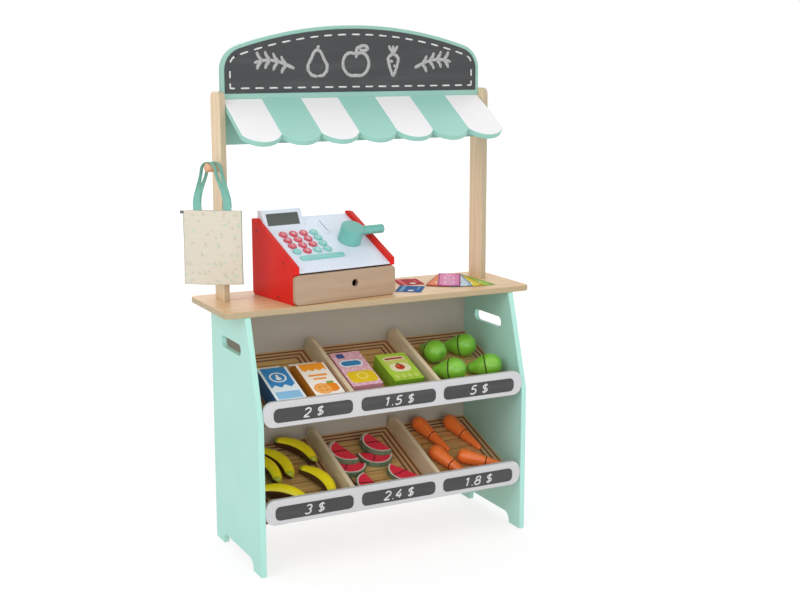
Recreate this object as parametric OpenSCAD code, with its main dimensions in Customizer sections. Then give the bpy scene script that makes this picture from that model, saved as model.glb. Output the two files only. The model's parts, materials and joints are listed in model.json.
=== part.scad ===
// Toy market stall: a counter with two tilted trays, a toy till on top,
// and an arched sign with a striped awning on two posts.
// Millimetres, +Z up, customer's side towards -Y, origin on the floor in the middle of the feet.

/* [Boards] */
// Thickness of the painted and natural boards
board_t = 11; // [9:0.5:14]
// Gap left between pieces that are fixed to each other
fit_gap = 0.1; // [0.05:0.01:0.2]
// Gap left around pieces that lie loose or move
loose_gap = 0.3; // [0.2:0.05:0.5]
// Length by which cutting bodies run past what they cut
overrun = 5; // [3:1:10]

/* [Counter] */
// Width of the counter board
counter_width = 660; // [600:1:700]
// Depth of the counter board
counter_depth = 202; // [180:1:220]
// Thickness of the counter board
counter_t = 12; // [10:0.5:15]
// Height of the counter's top face above the floor
counter_height = 500; // [470:1:530]
// Corner radius of the counter board
counter_r = 14; // [8:1:24]
// Overhang of the counter behind the side panels
counter_overhang = 8; // [4:1:14]

/* [Side panels] */
// Distance between the inner faces of the side panels
inside_width = 558; // [520:1:590]
// Depth of the side panels at the floor
panel_depth = 250; // [230:1:280]
// Height where the front edge begins to slant
panel_knee = 298; // [270:1:320]
// Distance that the slanted edge goes back at the top
panel_slant = 58; // [40:1:75]
// Width of the arched cut-out between the feet
arch_width = 164; // [140:1:180]
// Height of the arched cut-out
arch_height = 21; // [15:1:30]
// Radius of the cut-out's upper corners
arch_r = 18; // [8:1:20]
// Length of the hand slot
slot_length = 106; // [90:1:120]
// Height of the hand slot
slot_height = 22; // [18:1:28]
// Distance of the hand slot's middle below the counter's top face
slot_z = 80; // [65:1:100]
// Distance of the hand slot's middle behind the panel's middle
slot_back = 14; // [0:1:25]

/* [Back panel] */
// Thickness of the back panel
back_t = 5; // [4:0.5:8]
// Distance of the back panel's face behind the panel's middle
back_face_y = 110; // [100:1:112]
// Height of the back panel's lower edge
back_low_z = 160; // [140:1:175]
// Width of the battens behind the back panel
back_batten_w = 12; // [10:1:16]
// Thickness of the battens behind the back panel
back_batten_t = 9.8; // [8:0.2:9.8]
// Radius of the screw heads
screw_head_r = 3.4; // [3:0.1:4]
// Thickness of the screw heads
screw_head_h = 2.2; // [1.5:0.1:3]
// Radius of the screw shanks
screw_r = 1.7; // [1.4:0.1:2]
// Length of the screws
screw_length = 13; // [12:0.5:14]

/* [Posts and dowels] */
// Depth of the posts
post_depth = 52; // [44:1:60]
// Length of the posts
post_length = 397; // [370:1:420]
// Corner radius of the post tops
post_r = 14; // [8:1:20]
// Distance of the post's middle behind the panel's middle
post_back = 68.6; // [60:0.2:75]
// Radius of the dowels
dowel_r = 3; // [2.5:0.1:3.5]
// Depth of the dowels in the posts and side panels
dowel_depth = 22; // [15:1:30]
// Distance between the two dowels of a post
dowel_pitch = 28; // [20:1:34]
// Depth of the sign dowels in the posts
sign_dowel_in = 8; // [6:0.5:9]
// Depth of the sign dowels in the sign
sign_dowel_out = 20; // [14:1:26]

/* [Sign and awning] */
// Thickness of the sign board
sign_t = 12; // [10:0.5:14]
// Height of the sign board's lower edge above the counter
sign_low_z = 297; // [280:1:310]
// Height of the top of the sign's arch above the counter
sign_top_z = 521; // [500:1:540]
// Radius of the sign's arch
sign_arch_r = 800; // [700:10:1200]
// Radius of the sign's upper corners
sign_corner_r = 50; // [40:1:70]
// Width of the border around the chalkboard
chalk_border = 7; // [5:0.5:10]
// Height of the chalkboard's lower edge above the counter
chalk_low_z = 393; // [388:1:400]
// Thickness of the chalkboard panel
chalk_t = 2; // [1.5:0.1:3]
// Depth by which the chalkboard panel is let in
chalk_in = 1.4; // [1:0.1:2]
// Height of the awning's upper edge above the counter
awning_top_z = 383; // [376:1:390]
// Length of the awning along its slope
awning_length = 142; // [125:1:155]
// Slope of the awning in degrees
awning_tilt = 31.5; // [26:0.5:38]
// Width of one awning slat
slat_width = 79.4; // [74:0.2:79.6]
// Depth of the round slat ends
slat_sag = 24; // [16:1:34]
// Drop of the awning brackets along the sign
bracket_drop = 58; // [40:1:70]
// Reach of the awning brackets under the awning
bracket_reach = 66; // [50:1:80]

/* [Trays] */
// Slope of the trays in degrees
tray_tilt = 19.5; // [15:0.5:24]
// Height of the upper tray floor at the back panel
upper_tray_z = 374; // [360:1:385]
// Height between the two trays
tray_step = 189.5; // [175:0.5:200]
// Thickness of the tray floors
floor_t = 6; // [4:0.5:8]
// Thickness of the dividers
divider_t = 9; // [7:0.5:11]
// Height of the dividers above the floor
divider_h = 38; // [26:1:44]
// Radius of the dividers' rear corner
divider_r = 26; // [12:1:32]
// Distance of the dividers from the middle
divider_x = 94; // [85:1:100]
// Height of the front rails
rail_h = 49; // [44:1:56]
// Drop of the rails' lower edge below the tray floor's rear height
rail_drop = 86; // [82:1:90]
// Corner radius of the rails
rail_r = 20; // [12:1:24]
// Distance of the rails behind the panels' front edge
rail_set = 1; // [0.9:0.1:3]
// Width of the price plates
plate_w = 161; // [145:1:168]
// Height of the price plates
plate_h = 27; // [22:1:32]
// Thickness of the price plates
plate_t = 0.8; // [0.5:0.1:0.9]
// Corner radius of the price plates
plate_r = 10; // [3:1:13]
// Distance between the middles of the price plates
plate_pitch = 179; // [172:1:182]
// Drop of the price plates below the rails' middle
plate_drop = 2; // [0:0.5:4]
// Side of the square tray battens
batten_s = 12; // [10:1:15]
// Distance of the tray battens from the floor's ends
batten_end = 28; // [20:1:40]

/* [Bag and peg] */
// Radius of the peg
peg_r = 9; // [7:0.5:11]
// Length of the peg outside the post
peg_length = 29; // [27:1:32]
// Radius of the peg's rounded end
peg_edge = 4; // [2:0.5:6]
// Radius of the peg's tenon
peg_tenon_r = 5; // [4:0.5:6]
// Depth of the peg's tenon
peg_tenon = 8; // [6:0.5:9]
// Height of the peg above the counter
peg_z = 257; // [240:1:270]
// Distance of the peg behind the post's front edge
peg_back = 8.4; // [8:0.2:9]
// Width of the bag
bag_width = 113; // [104:1:126]
// Height of the bag
bag_height = 141; // [126:1:160]
// Fullness of the bag from front to back
bag_depth = 16; // [12:0.5:17]
// Thickness of the bag's cloth
bag_cloth = 1.4; // [1:0.1:2]
// Thickness of the bag's folded lower edge
bag_hem = 3; // [2:0.5:5]
// Height of the bag's rim above the counter
bag_rim_z = 177; // [165:1:190]
// Turn of the bag towards the outside in degrees
bag_turn = 30; // [29:0.5:32]
// Distance of the bag's middle outside the post
bag_out = 20; // [19:0.5:23]
// Distance of the bag's middle behind the post's front edge
bag_back = -0.5; // [-2:0.5:0]
// Width of the webbing handles
strap_w = 16; // [14:1:22]
// Width of the handles where they gather on the peg
strap_gather = 9; // [8:0.2:9.4]
// Thickness of the webbing
strap_t = 1.5; // [1:0.1:2]
// Radius of the handles' bend over the peg
strap_bend = 18; // [14:0.5:20]
// Angle between the peg and the handles that cross it
strap_turn = 60; // [50:1:80]
// Distance of the handle ends from the bag's middle
strap_x = 28; // [24:1:34]
// Length of the handles sewn to the bag
strap_sewn = 24; // [15:1:32]

/* [Till] */
// Width of the till
till_width = 228; // [215:1:232]
// Depth of the till
till_depth = 166; // [155:1:168]
// Turn of the till on the counter in degrees
till_turn = 8; // [6:0.5:9]
// Distance of the till's left front corner from the counter's middle
till_x = 188; // [180:1:200]
// Distance of the till's left front corner behind the counter's front edge
till_y = 3; // [2:0.5:4]
// Slope of the deck in degrees
deck_tilt = 27; // [24:0.5:29]
// Height of the deck's front edge
deck_low_z = 62; // [60:0.5:66]
// Thickness of the deck
deck_t = 3; // [2.5:0.1:3.5]
// Rise of the cheeks above the deck
cheek_rise = 10; // [7:0.5:11]
// Height of the cheeks
cheek_height = 150; // [145:1:156]
// Radius of the cheeks' lower rear corner
cheek_r = 8; // [4:1:14]
// Height of the base board's underside
base_z = 3; // [2:0.5:5]
// Thickness of the base board
base_t = 9; // [8:0.5:10]
// Height of the display hood
hood_height = 165; // [158:1:172]
// Width of the display hood
hood_width = 90; // [80:1:96]
// Distance of the hood's foot from the till's front
hood_v = 132; // [126:1:136]
// Distance of the hood's upper edge from the till's front
hood_top_v = 149; // [144:1:152]
// Width of the display window
window_w = 72; // [60:1:78]
// Height of the display window
window_h = 25; // [20:1:28]
// Depth of the display window's recess
window_in = 1.5; // [1:0.1:2]
// Width of the card slot
card_w = 3; // [2.4:0.1:3.4]
// Length of the card slot
card_l = 36; // [30:1:42]
// Width of the rim around the card slot
card_rim = 4.5; // [3:0.5:6]
// Height of the rim around the card slot
card_rise = 3; // [2:0.5:4]
// Distance of the card slot from the till's left side
card_u = 141; // [141:1:148]
// Distance of the card slot's middle up the deck
card_s = 143; // [138:1:148]

/* [Keys] */
// Radius of the round keys
key_r = 8.5; // [7.5:0.1:8.8]
// Rise of the keys above the deck
key_rise = 3; // [2.2:0.1:4]
// Radius of the keys' hidden flange
key_flange_r = 9.4; // [9:0.1:9.6]
// Thickness of the keys' hidden flange
key_flange_t = 1.2; // [1:0.1:1.5]
// Distance between the key columns
key_pitch_u = 23; // [22:0.5:24]
// Distance between the key rows
key_pitch_s = 19.5; // [19.4:0.1:20]
// Distance of the first key column from the till's left side
key_u = 40; // [36:0.5:44]
// Distance of the nearest key row up the deck
key_s = 68; // [66:0.5:70]
// Length of the key bar
bar_l = 98; // [90:1:102]
// Width of the key bar
bar_w = 12.5; // [11:0.5:14]
// Corner radius of the key bar
bar_r = 5; // [3:0.5:5.4]
// Distance of the key bar up the deck
bar_s = 45; // [42:0.5:47]
// Distance of the circuit board's face below the deck
board_drop = 6.6; // [6.2:0.1:8]
// Thickness of the circuit board
pcb_t = 1.6; // [1.2:0.1:2]
// Margin of the circuit board around the keys
pcb_margin = 5; // [4:0.5:5.5]
// Radius of the circuit board's mounts
boss_r = 2; // [1.5:0.1:2.4]
// Side of the square cleats under the deck
cleat_s = 10; // [8:0.5:12]

/* [Drawer and scanner] */
// Height of the drawer front
drawer_front_h = 58; // [54:0.5:59]
// Corner radius of the drawer front
drawer_front_r = 9; // [5:0.5:12]
// Radius of the drawer's finger hole
finger_r = 7; // [6:0.5:9]
// Distance of the finger hole from the till's left side
finger_u = 134; // [114:1:140]
// Height of the finger hole
finger_z = 32; // [26:1:36]
// Height of the drawer's sides
drawer_h = 36; // [30:1:37]
// Length of the drawer box
drawer_l = 138; // [120:1:145]
// Thickness of the drawer's sides
drawer_wall = 5; // [4:0.5:6]
// Thickness of the drawer's floor
drawer_floor = 4; // [3:0.5:5]
// Play between the drawer and the cheeks
drawer_play = 1; // [0.6:0.1:2]
// Radius of the scanner's drum
drum_r = 23.5; // [20:0.5:24]
// Height of the scanner's drum
drum_h = 33; // [28:1:36]
// Depth of the drum's seat in the deck
seat_in = 1.5; // [1:0.1:2]
// Distance of the drum from the till's left side
drum_u = 172; // [168:1:176]
// Distance of the drum up the deck
drum_s = 90; // [86:1:96]
// Radius of the scanner's handle
grip_r = 9; // [8:0.5:10]
// Length of the scanner's handle from the drum's middle
grip_l = 73; // [60:1:78]
// Height of the handle's middle above the deck
grip_z = 21; // [19:0.5:22]
// Depth of the handle's end in the drum
grip_in = 3.5; // [3:0.5:6]

/* [Goods] */
// Width of the cartons
carton_w = 60; // [54:1:64]
// Thickness of the cartons
carton_h = 38; // [32:1:40]
// Length of the cartons below their gable
carton_l = 108; // [95:1:114]
// Length of the cartons' gable
gable_l = 24; // [16:1:30]
// Length of the cartons' top seam
seam_l = 7; // [5:1:10]
// Thickness of the cartons' top seam
seam_t = 3; // [2:0.5:5]
// Width of the snack boxes
box_w = 65; // [58:1:68]
// Thickness of the snack boxes
box_h = 34; // [28:1:38]
// Length of the longer snack box
long_box_l = 120; // [105:1:126]
// Length of the shorter snack box
short_box_l = 96; // [85:1:105]
// Radius of the pears
pear_r = 24; // [21:0.5:25]
// Length of the pears
pear_l = 72; // [64:1:74]
// Radius of the carrots' thick end
carrot_r = 16; // [12:0.5:16.5]
// Length of the carrots
carrot_l = 112; // [88:1:114]
// Radius of the bananas
banana_r = 15; // [11:0.5:15.2]
// Radius of the bananas' bend
banana_bend = 76; // [55:1:78]
// Radius of the melon slices
melon_r = 37; // [34:0.5:37.5]
// Thickness of the melon slices
melon_t = 11; // [9:0.5:18]
// Length of the notes
note_l = 150; // [110:1:154]
// Width of the notes
note_w = 46; // [38:1:48]
// Thickness of the notes
note_t = 0.4; // [0.3:0.05:0.6]
// Length of the cards
card_length = 66; // [52:1:68]
// Width of the cards
card_width = 52; // [34:1:54]
// Thickness of the cards
card_t = 0.9; // [0.6:0.1:1.2]
// Corner radius of the cards
card_r = 4; // [2:0.5:6]

/* [Node] */
// Name of the piece to make, or all of them

/* [Hidden] */
$fn = 72;
arc_fn = 240;
half_in = inside_width / 2;
half_out = half_in + board_t;
panel_top = counter_height - counter_t;
front_y = -panel_depth / 2;
rear_y = panel_depth / 2;
counter_rear = rear_y + counter_overhang;
counter_front = counter_rear - counter_depth;
post_front = post_back - post_depth / 2;
post_top = counter_height + post_length;
sign_front = post_back - sign_t / 2;
sign_half = half_in - fit_gap;
slot_mid = counter_height - slot_z;
sign_low = counter_height + sign_low_z;
sign_top = counter_height + sign_top_z;
chalk_low = counter_height + chalk_low_z;
awning_top = counter_height + awning_top_z;
peg_mid = counter_height + peg_z;
bag_rim = counter_height + bag_rim_z;
sign_arch_mid = sign_top - sign_arch_r;
dowel_gap = fit_gap;
sign_dowel_shares = [0.09, 0.36];
sign_dowel_low = mix(sign_low, sign_top, sign_dowel_shares[0]);
sign_dowel_high = mix(sign_low, sign_top, sign_dowel_shares[1]);
slat_count = 7;
slat_end_r = (slat_width * slat_width / 4 + slat_sag * slat_sag) / (2 * slat_sag);
awning_drop = sin(awning_tilt);
rail_front = front_y + rail_set;
rail_inner = rail_front + board_t;
tray_y = back_face_y - fit_gap - floor_t * sin(tray_tilt);
tray_length = (tray_y - rail_inner) / cos(tray_tilt);
lower_tray_z = upper_tray_z - tray_step;
peg_y = post_front + peg_back;
bag_x = -half_out - bag_out;
bag_y = post_front + bag_back;
bag_half = bag_depth / 2;
bag_bow = (bag_width * bag_width / 4 + bag_half * bag_half) / (2 * bag_half);
bag_low_z = bag_rim - bag_height;
strap_in = strap_bend - strap_t / 2;
strap_lift = max([
    for (share = [0 : 0.05 : 0.75]) let(
        reach = (share * peg_r + strap_gather / 2 * cos(strap_turn)) / sin(strap_turn),
        fall = strap_in - sqrt(max(0, pow(strap_in, 2) - pow(reach, 2)))
    ) fall - peg_r * (1 - sqrt(1 - pow(share, 2)))
]);
strap_mid = peg_mid + peg_r + loose_gap + strap_t / 2 + strap_lift - strap_bend;
cheek_in = board_t + fit_gap;
deck_span = till_width - 2 * cheek_in;
cheek_notch = board_t + loose_gap;
deck_rear = till_depth / cos(deck_tilt) - 2 * fit_gap - deck_t;
back_v = till_depth - back_t;
hood_angle = atan2(hood_height - deck_low_z - hood_v * tan(deck_tilt), hood_top_v - hood_v);
hood_face = (hood_top_v - hood_v) / cos(hood_angle);
hood_u = cheek_in + loose_gap + hood_width / 2;
key_hole_r = key_r + loose_gap;
key_low = -deck_t - loose_gap;
drawer_z = base_z + base_t + loose_gap;
cheek_screw_share = 0.7;
cheek_screw_l = board_t + cheek_screw_share * cleat_s;
cleat_low_s = 2 * board_t;
cleat_high_s = deck_rear - board_t;
bar_shift_share = 0.8;
bar_u = key_u + 1.5 * key_pitch_u + bar_shift_share * bar_w;
pcb_low_u = key_u - key_flange_r - pcb_margin;
pcb_high_u = bar_u + bar_l / 2 + pcb_margin;
pcb_low_s = bar_s - bar_w / 2 - pcb_margin;
pcb_high_s = key_s + 3 * key_pitch_s + key_flange_r + pcb_margin;
rail_clear = tan(tray_tilt);

/* Small helpers */

// Value between two others.
function mix(a, b, t) = a + (b - a) * t;

// Smooth step between 0 and 1.
function ease(t) = t * t * (3 - 2 * t);

// Vector of length one.
function unit(v) = v / norm(v);

// Outline in y and z, with thickness along x.
module upright(t) {
    rotate([90, 0, 90]) linear_extrude(t) children();
}

// Outline in x and z, with thickness towards the front.
module facing(t) {
    rotate([90, 0, 0]) linear_extrude(t) children();
}

// Rectangle about its middle with four round corners.
module rounded(w, h, r) {
    square([w - 2 * r, h], center = true);
    square([w, h - 2 * r], center = true);
    for (sx = [-1, 1], sy = [-1, 1])
        translate([sx * (w / 2 - r), sy * (h / 2 - r)]) circle(r);
}

// Solid through a row of rings that all have the same number of points.
module skin(rings) {
    n = len(rings[0]);
    last = len(rings) - 1;
    points = [for (ring = rings) for (p = ring) p];
    sides = [for (i = [0 : last - 1]) for (j = [0 : n - 1]) for (h = [0, 1])
        h == 0 ? [i * n + j, i * n + (j + 1) % n, (i + 1) * n + j]
               : [i * n + (j + 1) % n, (i + 1) * n + (j + 1) % n, (i + 1) * n + j]];
    first_cap = [[for (j = [0 : n - 1]) n - 1 - j]];
    last_cap = [[for (j = [0 : n - 1]) last * n + j]];
    polyhedron(points, concat(sides, first_cap, last_cap));
}

// Places a tray's parts, with x across, y up the slope and z off the floor.
module in_tray(z) {
    translate([0, tray_y, z]) rotate([tray_tilt, 0, 0]) children();
}

// Places the till's parts, with x across, y from front to back and z off the counter.
module in_till() {
    translate([-till_x, counter_front + till_y, counter_height]) rotate(till_turn) children();
}

// Places parts on the till's deck, with x across, y up the slope and z off the deck.
module in_deck() {
    in_till() translate([0, 0, deck_low_z]) rotate([deck_tilt, 0, 0]) children();
}

// Places parts on the display hood's face.
module in_hood() {
    in_till() translate([hood_u, hood_v, deck_low_z + hood_v * tan(deck_tilt)])
        rotate([hood_angle, 0, 0]) children();
}

// Places the bag, with x along its width and its front towards -y.
module in_bag() {
    translate([bag_x, bag_y, 0]) rotate(-bag_turn) children();
}

/* Stall */

// Outline of a side panel.
module panel_outline() {
    difference() {
        polygon([
            [front_y, 0],
            [rear_y, 0],
            [rear_y, panel_top],
            [front_y + panel_slant, panel_top],
            [front_y, panel_knee]
        ]);
        rounded(arch_width, 2 * arch_height, arch_r);
        translate([slot_back, slot_mid]) {
            square([slot_length - slot_height, slot_height], center = true);
            for (s = [-1, 1]) translate([s * (slot_length - slot_height) / 2, 0]) circle(slot_height / 2);
        }
    }
}

// Upright bores for the dowels of the post at distance x.
module dowel_bores(x) {
    for (s = [-1, 1])
        translate([x, post_back + s * dowel_pitch / 2, panel_top - dowel_depth - dowel_gap])
            cylinder(r = dowel_r + dowel_gap, h = 2 * dowel_depth + counter_t + 2 * dowel_gap);
}

// Bores for the dowels between one post and the sign.
module sign_bores(side) {
    for (z = [sign_dowel_low, sign_dowel_high])
        translate([side * (half_in + sign_dowel_in + dowel_gap), post_back, z])
            rotate([0, -90 * side, 0])
                cylinder(r = dowel_r + dowel_gap, h = sign_dowel_in + sign_dowel_out + 3 * dowel_gap);
}

module side_panel(side) {
    color("#B2DFD5") difference() {
        translate([side > 0 ? half_in : -half_out, 0, 0]) upright(board_t) panel_outline();
        dowel_bores(side * (half_in + board_t / 2));
    }
}

module left_side_panel() {
    side_panel(-1);
}

module right_side_panel() {
    side_panel(1);
}

// Bores for the screws of the back panel's battens.
module back_screw_places() {
    height = panel_top - back_low_z;
    place_shares = [0.2, 0.5, 0.8];
    for (s = [-1, 1], k = place_shares)
        translate([
            s * (half_in - fit_gap - back_batten_w / 2),
            back_face_y + back_t + fit_gap + back_batten_t,
            back_low_z + k * height
        ]) rotate([90, 0, 0]) children();
}

// Bores that take the back panel's screws.
module back_screw_bores() {
    back_screw_places() {
        translate([0, 0, -overrun])
            cylinder(r = screw_head_r + fit_gap, h = overrun + screw_head_h + fit_gap);
        cylinder(r = screw_r + fit_gap, h = screw_length + fit_gap);
    }
}

module back_panel() {
    color("#CFC6B6") difference() {
        translate([-half_in + fit_gap, back_face_y, back_low_z])
            cube([inside_width - 2 * fit_gap, back_t, panel_top - fit_gap - back_low_z]);
        back_screw_bores();
    }
}

module back_battens() {
    color("#E3C8A0") difference() {
        for (s = [-1, 1])
            translate([
                s * (half_in - fit_gap - back_batten_w / 2) - back_batten_w / 2,
                back_face_y + back_t + fit_gap,
                back_low_z + batten_end
            ]) cube([back_batten_w, back_batten_t, panel_top - back_low_z - 2 * batten_end]);
        back_screw_bores();
    }
}

module back_screws() {
    color("#B9BCC0") back_screw_places() {
        cylinder(r = screw_head_r, h = screw_head_h);
        cylinder(r = screw_r, h = screw_length);
    }
}

module counter_top() {
    color("#DDBF94") difference() {
        translate([0, counter_front + counter_depth / 2, panel_top])
            linear_extrude(counter_t) rounded(counter_width, counter_depth, counter_r);
        for (s = [-1, 1]) dowel_bores(s * (half_in + board_t / 2));
    }
}

module post(side) {
    difference() {
        translate([side > 0 ? half_in : -half_out, post_back, counter_height])
            upright(board_t) difference() {
                rounded(post_depth, 2 * post_length, post_r);
                translate([-post_depth, -2 * post_length])
                    square([2 * post_depth, 2 * post_length]);
            }
        dowel_bores(side * (half_in + board_t / 2));
        sign_bores(side);
    }
}

module left_post() {
    color("#E3C8A0") difference() {
        post(-1);
        translate([-half_out - overrun, peg_y, peg_mid]) rotate([0, 90, 0])
            cylinder(r = peg_tenon_r + fit_gap, h = overrun + peg_tenon + fit_gap);
    }
}

module right_post() {
    color("#E3C8A0") post(1);
}

module bag_peg() {
    color("#DDB98C") translate([-half_out, peg_y, peg_mid]) rotate([0, -90, 0]) {
        rotate_extrude() difference() {
            translate([0, fit_gap]) square([peg_r, peg_length - fit_gap]);
            difference() {
                translate([peg_r - peg_edge, peg_length - peg_edge]) square(2 * peg_edge);
                translate([peg_r - peg_edge, peg_length - peg_edge]) circle(peg_edge);
            }
        }
        translate([0, 0, -peg_tenon]) cylinder(r = peg_tenon_r, h = peg_tenon + peg_edge);
    }
}

// Outline of the arched sign, drawn in by a border.
module sign_outline(border) {
    half = sign_half - border;
    arch = sign_arch_r - border;
    corner = sign_corner_r - border;
    corner_x = half - corner;
    corner_z = sqrt(pow(arch - corner, 2) - pow(corner_x, 2));
    toward = unit([corner_x, corner_z]);
    far = [corner_x, corner_z] + toward * (corner + overrun);
    difference() {
        intersection() {
            translate([-half, sign_low]) square([2 * half, sign_top - sign_low]);
            translate([0, sign_arch_mid]) circle(arch, $fn = arc_fn);
        }
        for (s = [0, 1]) mirror([s, 0]) translate([0, sign_arch_mid]) difference() {
            polygon([
                [corner_x, corner_z],
                [half + overrun, corner_z],
                [half + overrun, far[1]],
                far
            ]);
            translate([corner_x, corner_z]) circle(corner);
        }
    }
}

// Outline of the chalkboard with its lower edge.
module chalk_outline(border) {
    difference() {
        sign_outline(chalk_border + border);
        translate([-counter_width, sign_low - overrun])
            square([2 * counter_width, chalk_low + border - sign_low + overrun]);
    }
}

module sign_board() {
    color("#B2DFD5") difference() {
        translate([0, sign_front + sign_t, 0]) facing(sign_t) sign_outline(0);
        translate([0, sign_front + chalk_in + fit_gap, 0]) facing(chalk_in + overrun) chalk_outline(0);
        for (s = [-1, 1]) sign_bores(s);
    }
}

module chalkboard_panel() {
    color("#4E4E4F") translate([0, sign_front + chalk_in, 0]) facing(chalk_t) chalk_outline(fit_gap);
}

module dowels() {
    color("#E3C8A0") for (s = [-1, 1]) {
        for (k = [-1, 1])
            translate([
                s * (half_in + board_t / 2),
                post_back + k * dowel_pitch / 2,
                panel_top - dowel_depth
            ]) cylinder(r = dowel_r, h = 2 * dowel_depth + counter_t);
        for (z = [sign_dowel_low, sign_dowel_high])
            translate([s * (half_in + sign_dowel_in), post_back, z]) rotate([0, -90 * s, 0])
                cylinder(r = dowel_r, h = sign_dowel_in + sign_dowel_out);
    }
}

// Outline of the awning with its round slat ends, upper edge on the x axis.
module awning_outline() {
    straight = awning_length - slat_sag;
    half = slat_count * slat_width / 2;
    lap = board_t / 2;
    translate([-half, lap - straight]) square([2 * half, straight - lap + 2 * board_t]);
    intersection() {
        translate([-half, -awning_length - overrun]) square([2 * half, slat_sag + overrun + board_t]);
        union() for (i = [0 : slat_count - 1])
            translate([(i + 0.5) * slat_width - half, slat_end_r - awning_length]) circle(slat_end_r);
    }
}

// Places the awning's parts, with y up its slope and z off its face.
module in_awning() {
    translate([0, sign_front, awning_top]) rotate([awning_tilt, 0, 0]) children();
}

module awning_board() {
    color("#9BD3C5") difference() {
        in_awning() translate([0, 0, -board_t]) linear_extrude(board_t) awning_outline();
        translate([-counter_width / 2, sign_front - fit_gap, sign_low])
            cube([counter_width, awning_length, sign_top - sign_low]);
    }
}

module awning_brackets() {
    under = board_t / cos(awning_tilt);
    reach = bracket_reach * cos(awning_tilt);
    top_z = awning_top - under - fit_gap * 2;
    color("#E3C8A0") for (k = [-2, 2])
        translate([k * slat_width - board_t / 2, 0, 0]) upright(board_t) polygon([
            [sign_front - fit_gap, top_z],
            [sign_front - fit_gap - reach, top_z - bracket_reach * awning_drop],
            [sign_front - fit_gap, top_z - bracket_drop]
        ]);
}

/* Trays */

// Space between a tray's rail and the back panel.
module tray_span(z) {
    reach = back_face_y - rail_inner - 2 * fit_gap;
    translate([-half_in + fit_gap, rail_inner + fit_gap, z - tray_step])
        cube([inside_width - 2 * fit_gap, reach, 2 * tray_step]);
}

module tray_floor(z) {
    color("#D8B98A") intersection() {
        in_tray(z) translate([-half_in, -tray_length - batten_end, -floor_t])
            cube([inside_width, tray_length + 2 * batten_end, floor_t]);
        tray_span(z);
    }
}

module tray_dividers() {
    color("#CDBBA0") for (z = [upper_tray_z, lower_tray_z], s = [-1, 1]) intersection() {
        in_tray(z) translate([s * divider_x - divider_t / 2, 0, fit_gap]) upright(divider_t) difference() {
            translate([-tray_length - batten_end, 0]) square([tray_length + batten_end, divider_h]);
            translate([-divider_r, divider_h - divider_r]) difference() {
                square(2 * divider_r);
                circle(divider_r);
            }
        }
        tray_span(z);
    }
}

module price_rail(z) {
    color("#EFEEEE") translate([0, rail_inner, z - rail_drop + rail_h / 2])
        facing(board_t) rounded(inside_width - 2 * fit_gap, rail_h, rail_r);
}

module price_plates() {
    color("#56585A") for (z = [upper_tray_z, lower_tray_z], k = [-1, 0, 1])
        translate([k * plate_pitch, rail_front - fit_gap, z - rail_drop + rail_h / 2 - plate_drop])
            facing(plate_t) rounded(plate_w, plate_h, plate_r);
}

module upper_tray_floor() {
    tray_floor(upper_tray_z);
}

module upper_price_rail() {
    price_rail(upper_tray_z);
}

module lower_tray_floor() {
    tray_floor(lower_tray_z);
}

module lower_price_rail() {
    price_rail(lower_tray_z);
}

module tray_battens() {
    color("#E3C8A0") for (z = [upper_tray_z, lower_tray_z], s = [-1, 1])
        in_tray(z) translate([
            s * (half_in - fit_gap - batten_s / 2) - batten_s / 2,
            batten_end - tray_length,
            -floor_t - fit_gap - batten_s
        ]) cube([batten_s, tray_length - 2 * batten_end, batten_s]);
}

/* Till */

// Places the screws of one cheek, pointing inwards.
module cheek_screw_places(side) {
    face = side < 0 ? 0 : till_width;
    deck_shares = [0.26, 0.88];
    base_share = 0.4;
    for (k = deck_shares)
        in_deck() translate([face, k * deck_rear, -deck_t - fit_gap - cleat_s / 2])
            rotate([0, -90 * side, 0]) children();
    in_till() translate([face, base_share * till_depth, base_z + base_t / 2])
        rotate([0, -90 * side, 0]) children();
}

// Bores that take the screws of both cheeks.
module cheek_screw_bores() {
    for (side = [-1, 1]) cheek_screw_places(side) {
        translate([0, 0, -overrun])
            cylinder(r = screw_head_r - screw_r / 2 + fit_gap, h = overrun + screw_head_h + fit_gap);
        cylinder(r = screw_r + fit_gap, h = cheek_screw_l + fit_gap);
    }
}

module till_cheek_screws() {
    color("#7A1F1C") for (side = [-1, 1]) cheek_screw_places(side) {
        cylinder(r = screw_head_r - screw_r / 2, h = screw_head_h);
        cylinder(r = screw_r, h = cheek_screw_l);
    }
}

module till_cheek(u) {
    slope = tan(deck_tilt);
    edge_z = deck_low_z + cheek_rise;
    nose_v = board_t / 4;
    color("#D33A33") difference() {
        in_till() translate([u, 0, 0]) upright(board_t) difference() {
            polygon([
                [cheek_notch, 0],
                [till_depth, 0],
                [till_depth, cheek_height],
                [(cheek_height - edge_z) / slope, cheek_height],
                [nose_v, edge_z + nose_v * slope],
                [nose_v, drawer_front_h + 2 * loose_gap],
                [cheek_notch, drawer_front_h + 2 * loose_gap]
            ]);
            translate([till_depth - cheek_r, cheek_r]) difference() {
                translate([0, -2 * cheek_r]) square(2 * cheek_r);
                circle(cheek_r);
            }
        }
        cheek_screw_bores();
    }
}

module till_left_cheek() {
    till_cheek(0);
}

module till_right_cheek() {
    till_cheek(till_width - board_t);
}

module till_base() {
    color("#E3C8A0") difference() {
        in_till() translate([cheek_in, cheek_notch + fit_gap, base_z])
            cube([deck_span, back_v - cheek_notch - 2 * fit_gap, base_t]);
        cheek_screw_bores();
    }
}

module till_back() {
    color("#D33A33") in_till() translate([cheek_in, back_v, base_z])
        cube([deck_span, back_t - fit_gap, deck_low_z + back_v * tan(deck_tilt) - deck_t * 2 - base_z]);
}

module till_deck_cleats() {
    color("#E3C8A0") difference() {
        for (u = [cheek_in, till_width - cheek_in - cleat_s])
            in_deck() translate([u, cleat_low_s, -deck_t - fit_gap - cleat_s])
                cube([cleat_s, cleat_high_s - cleat_low_s, cleat_s]);
        cheek_screw_bores();
    }
}

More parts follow.
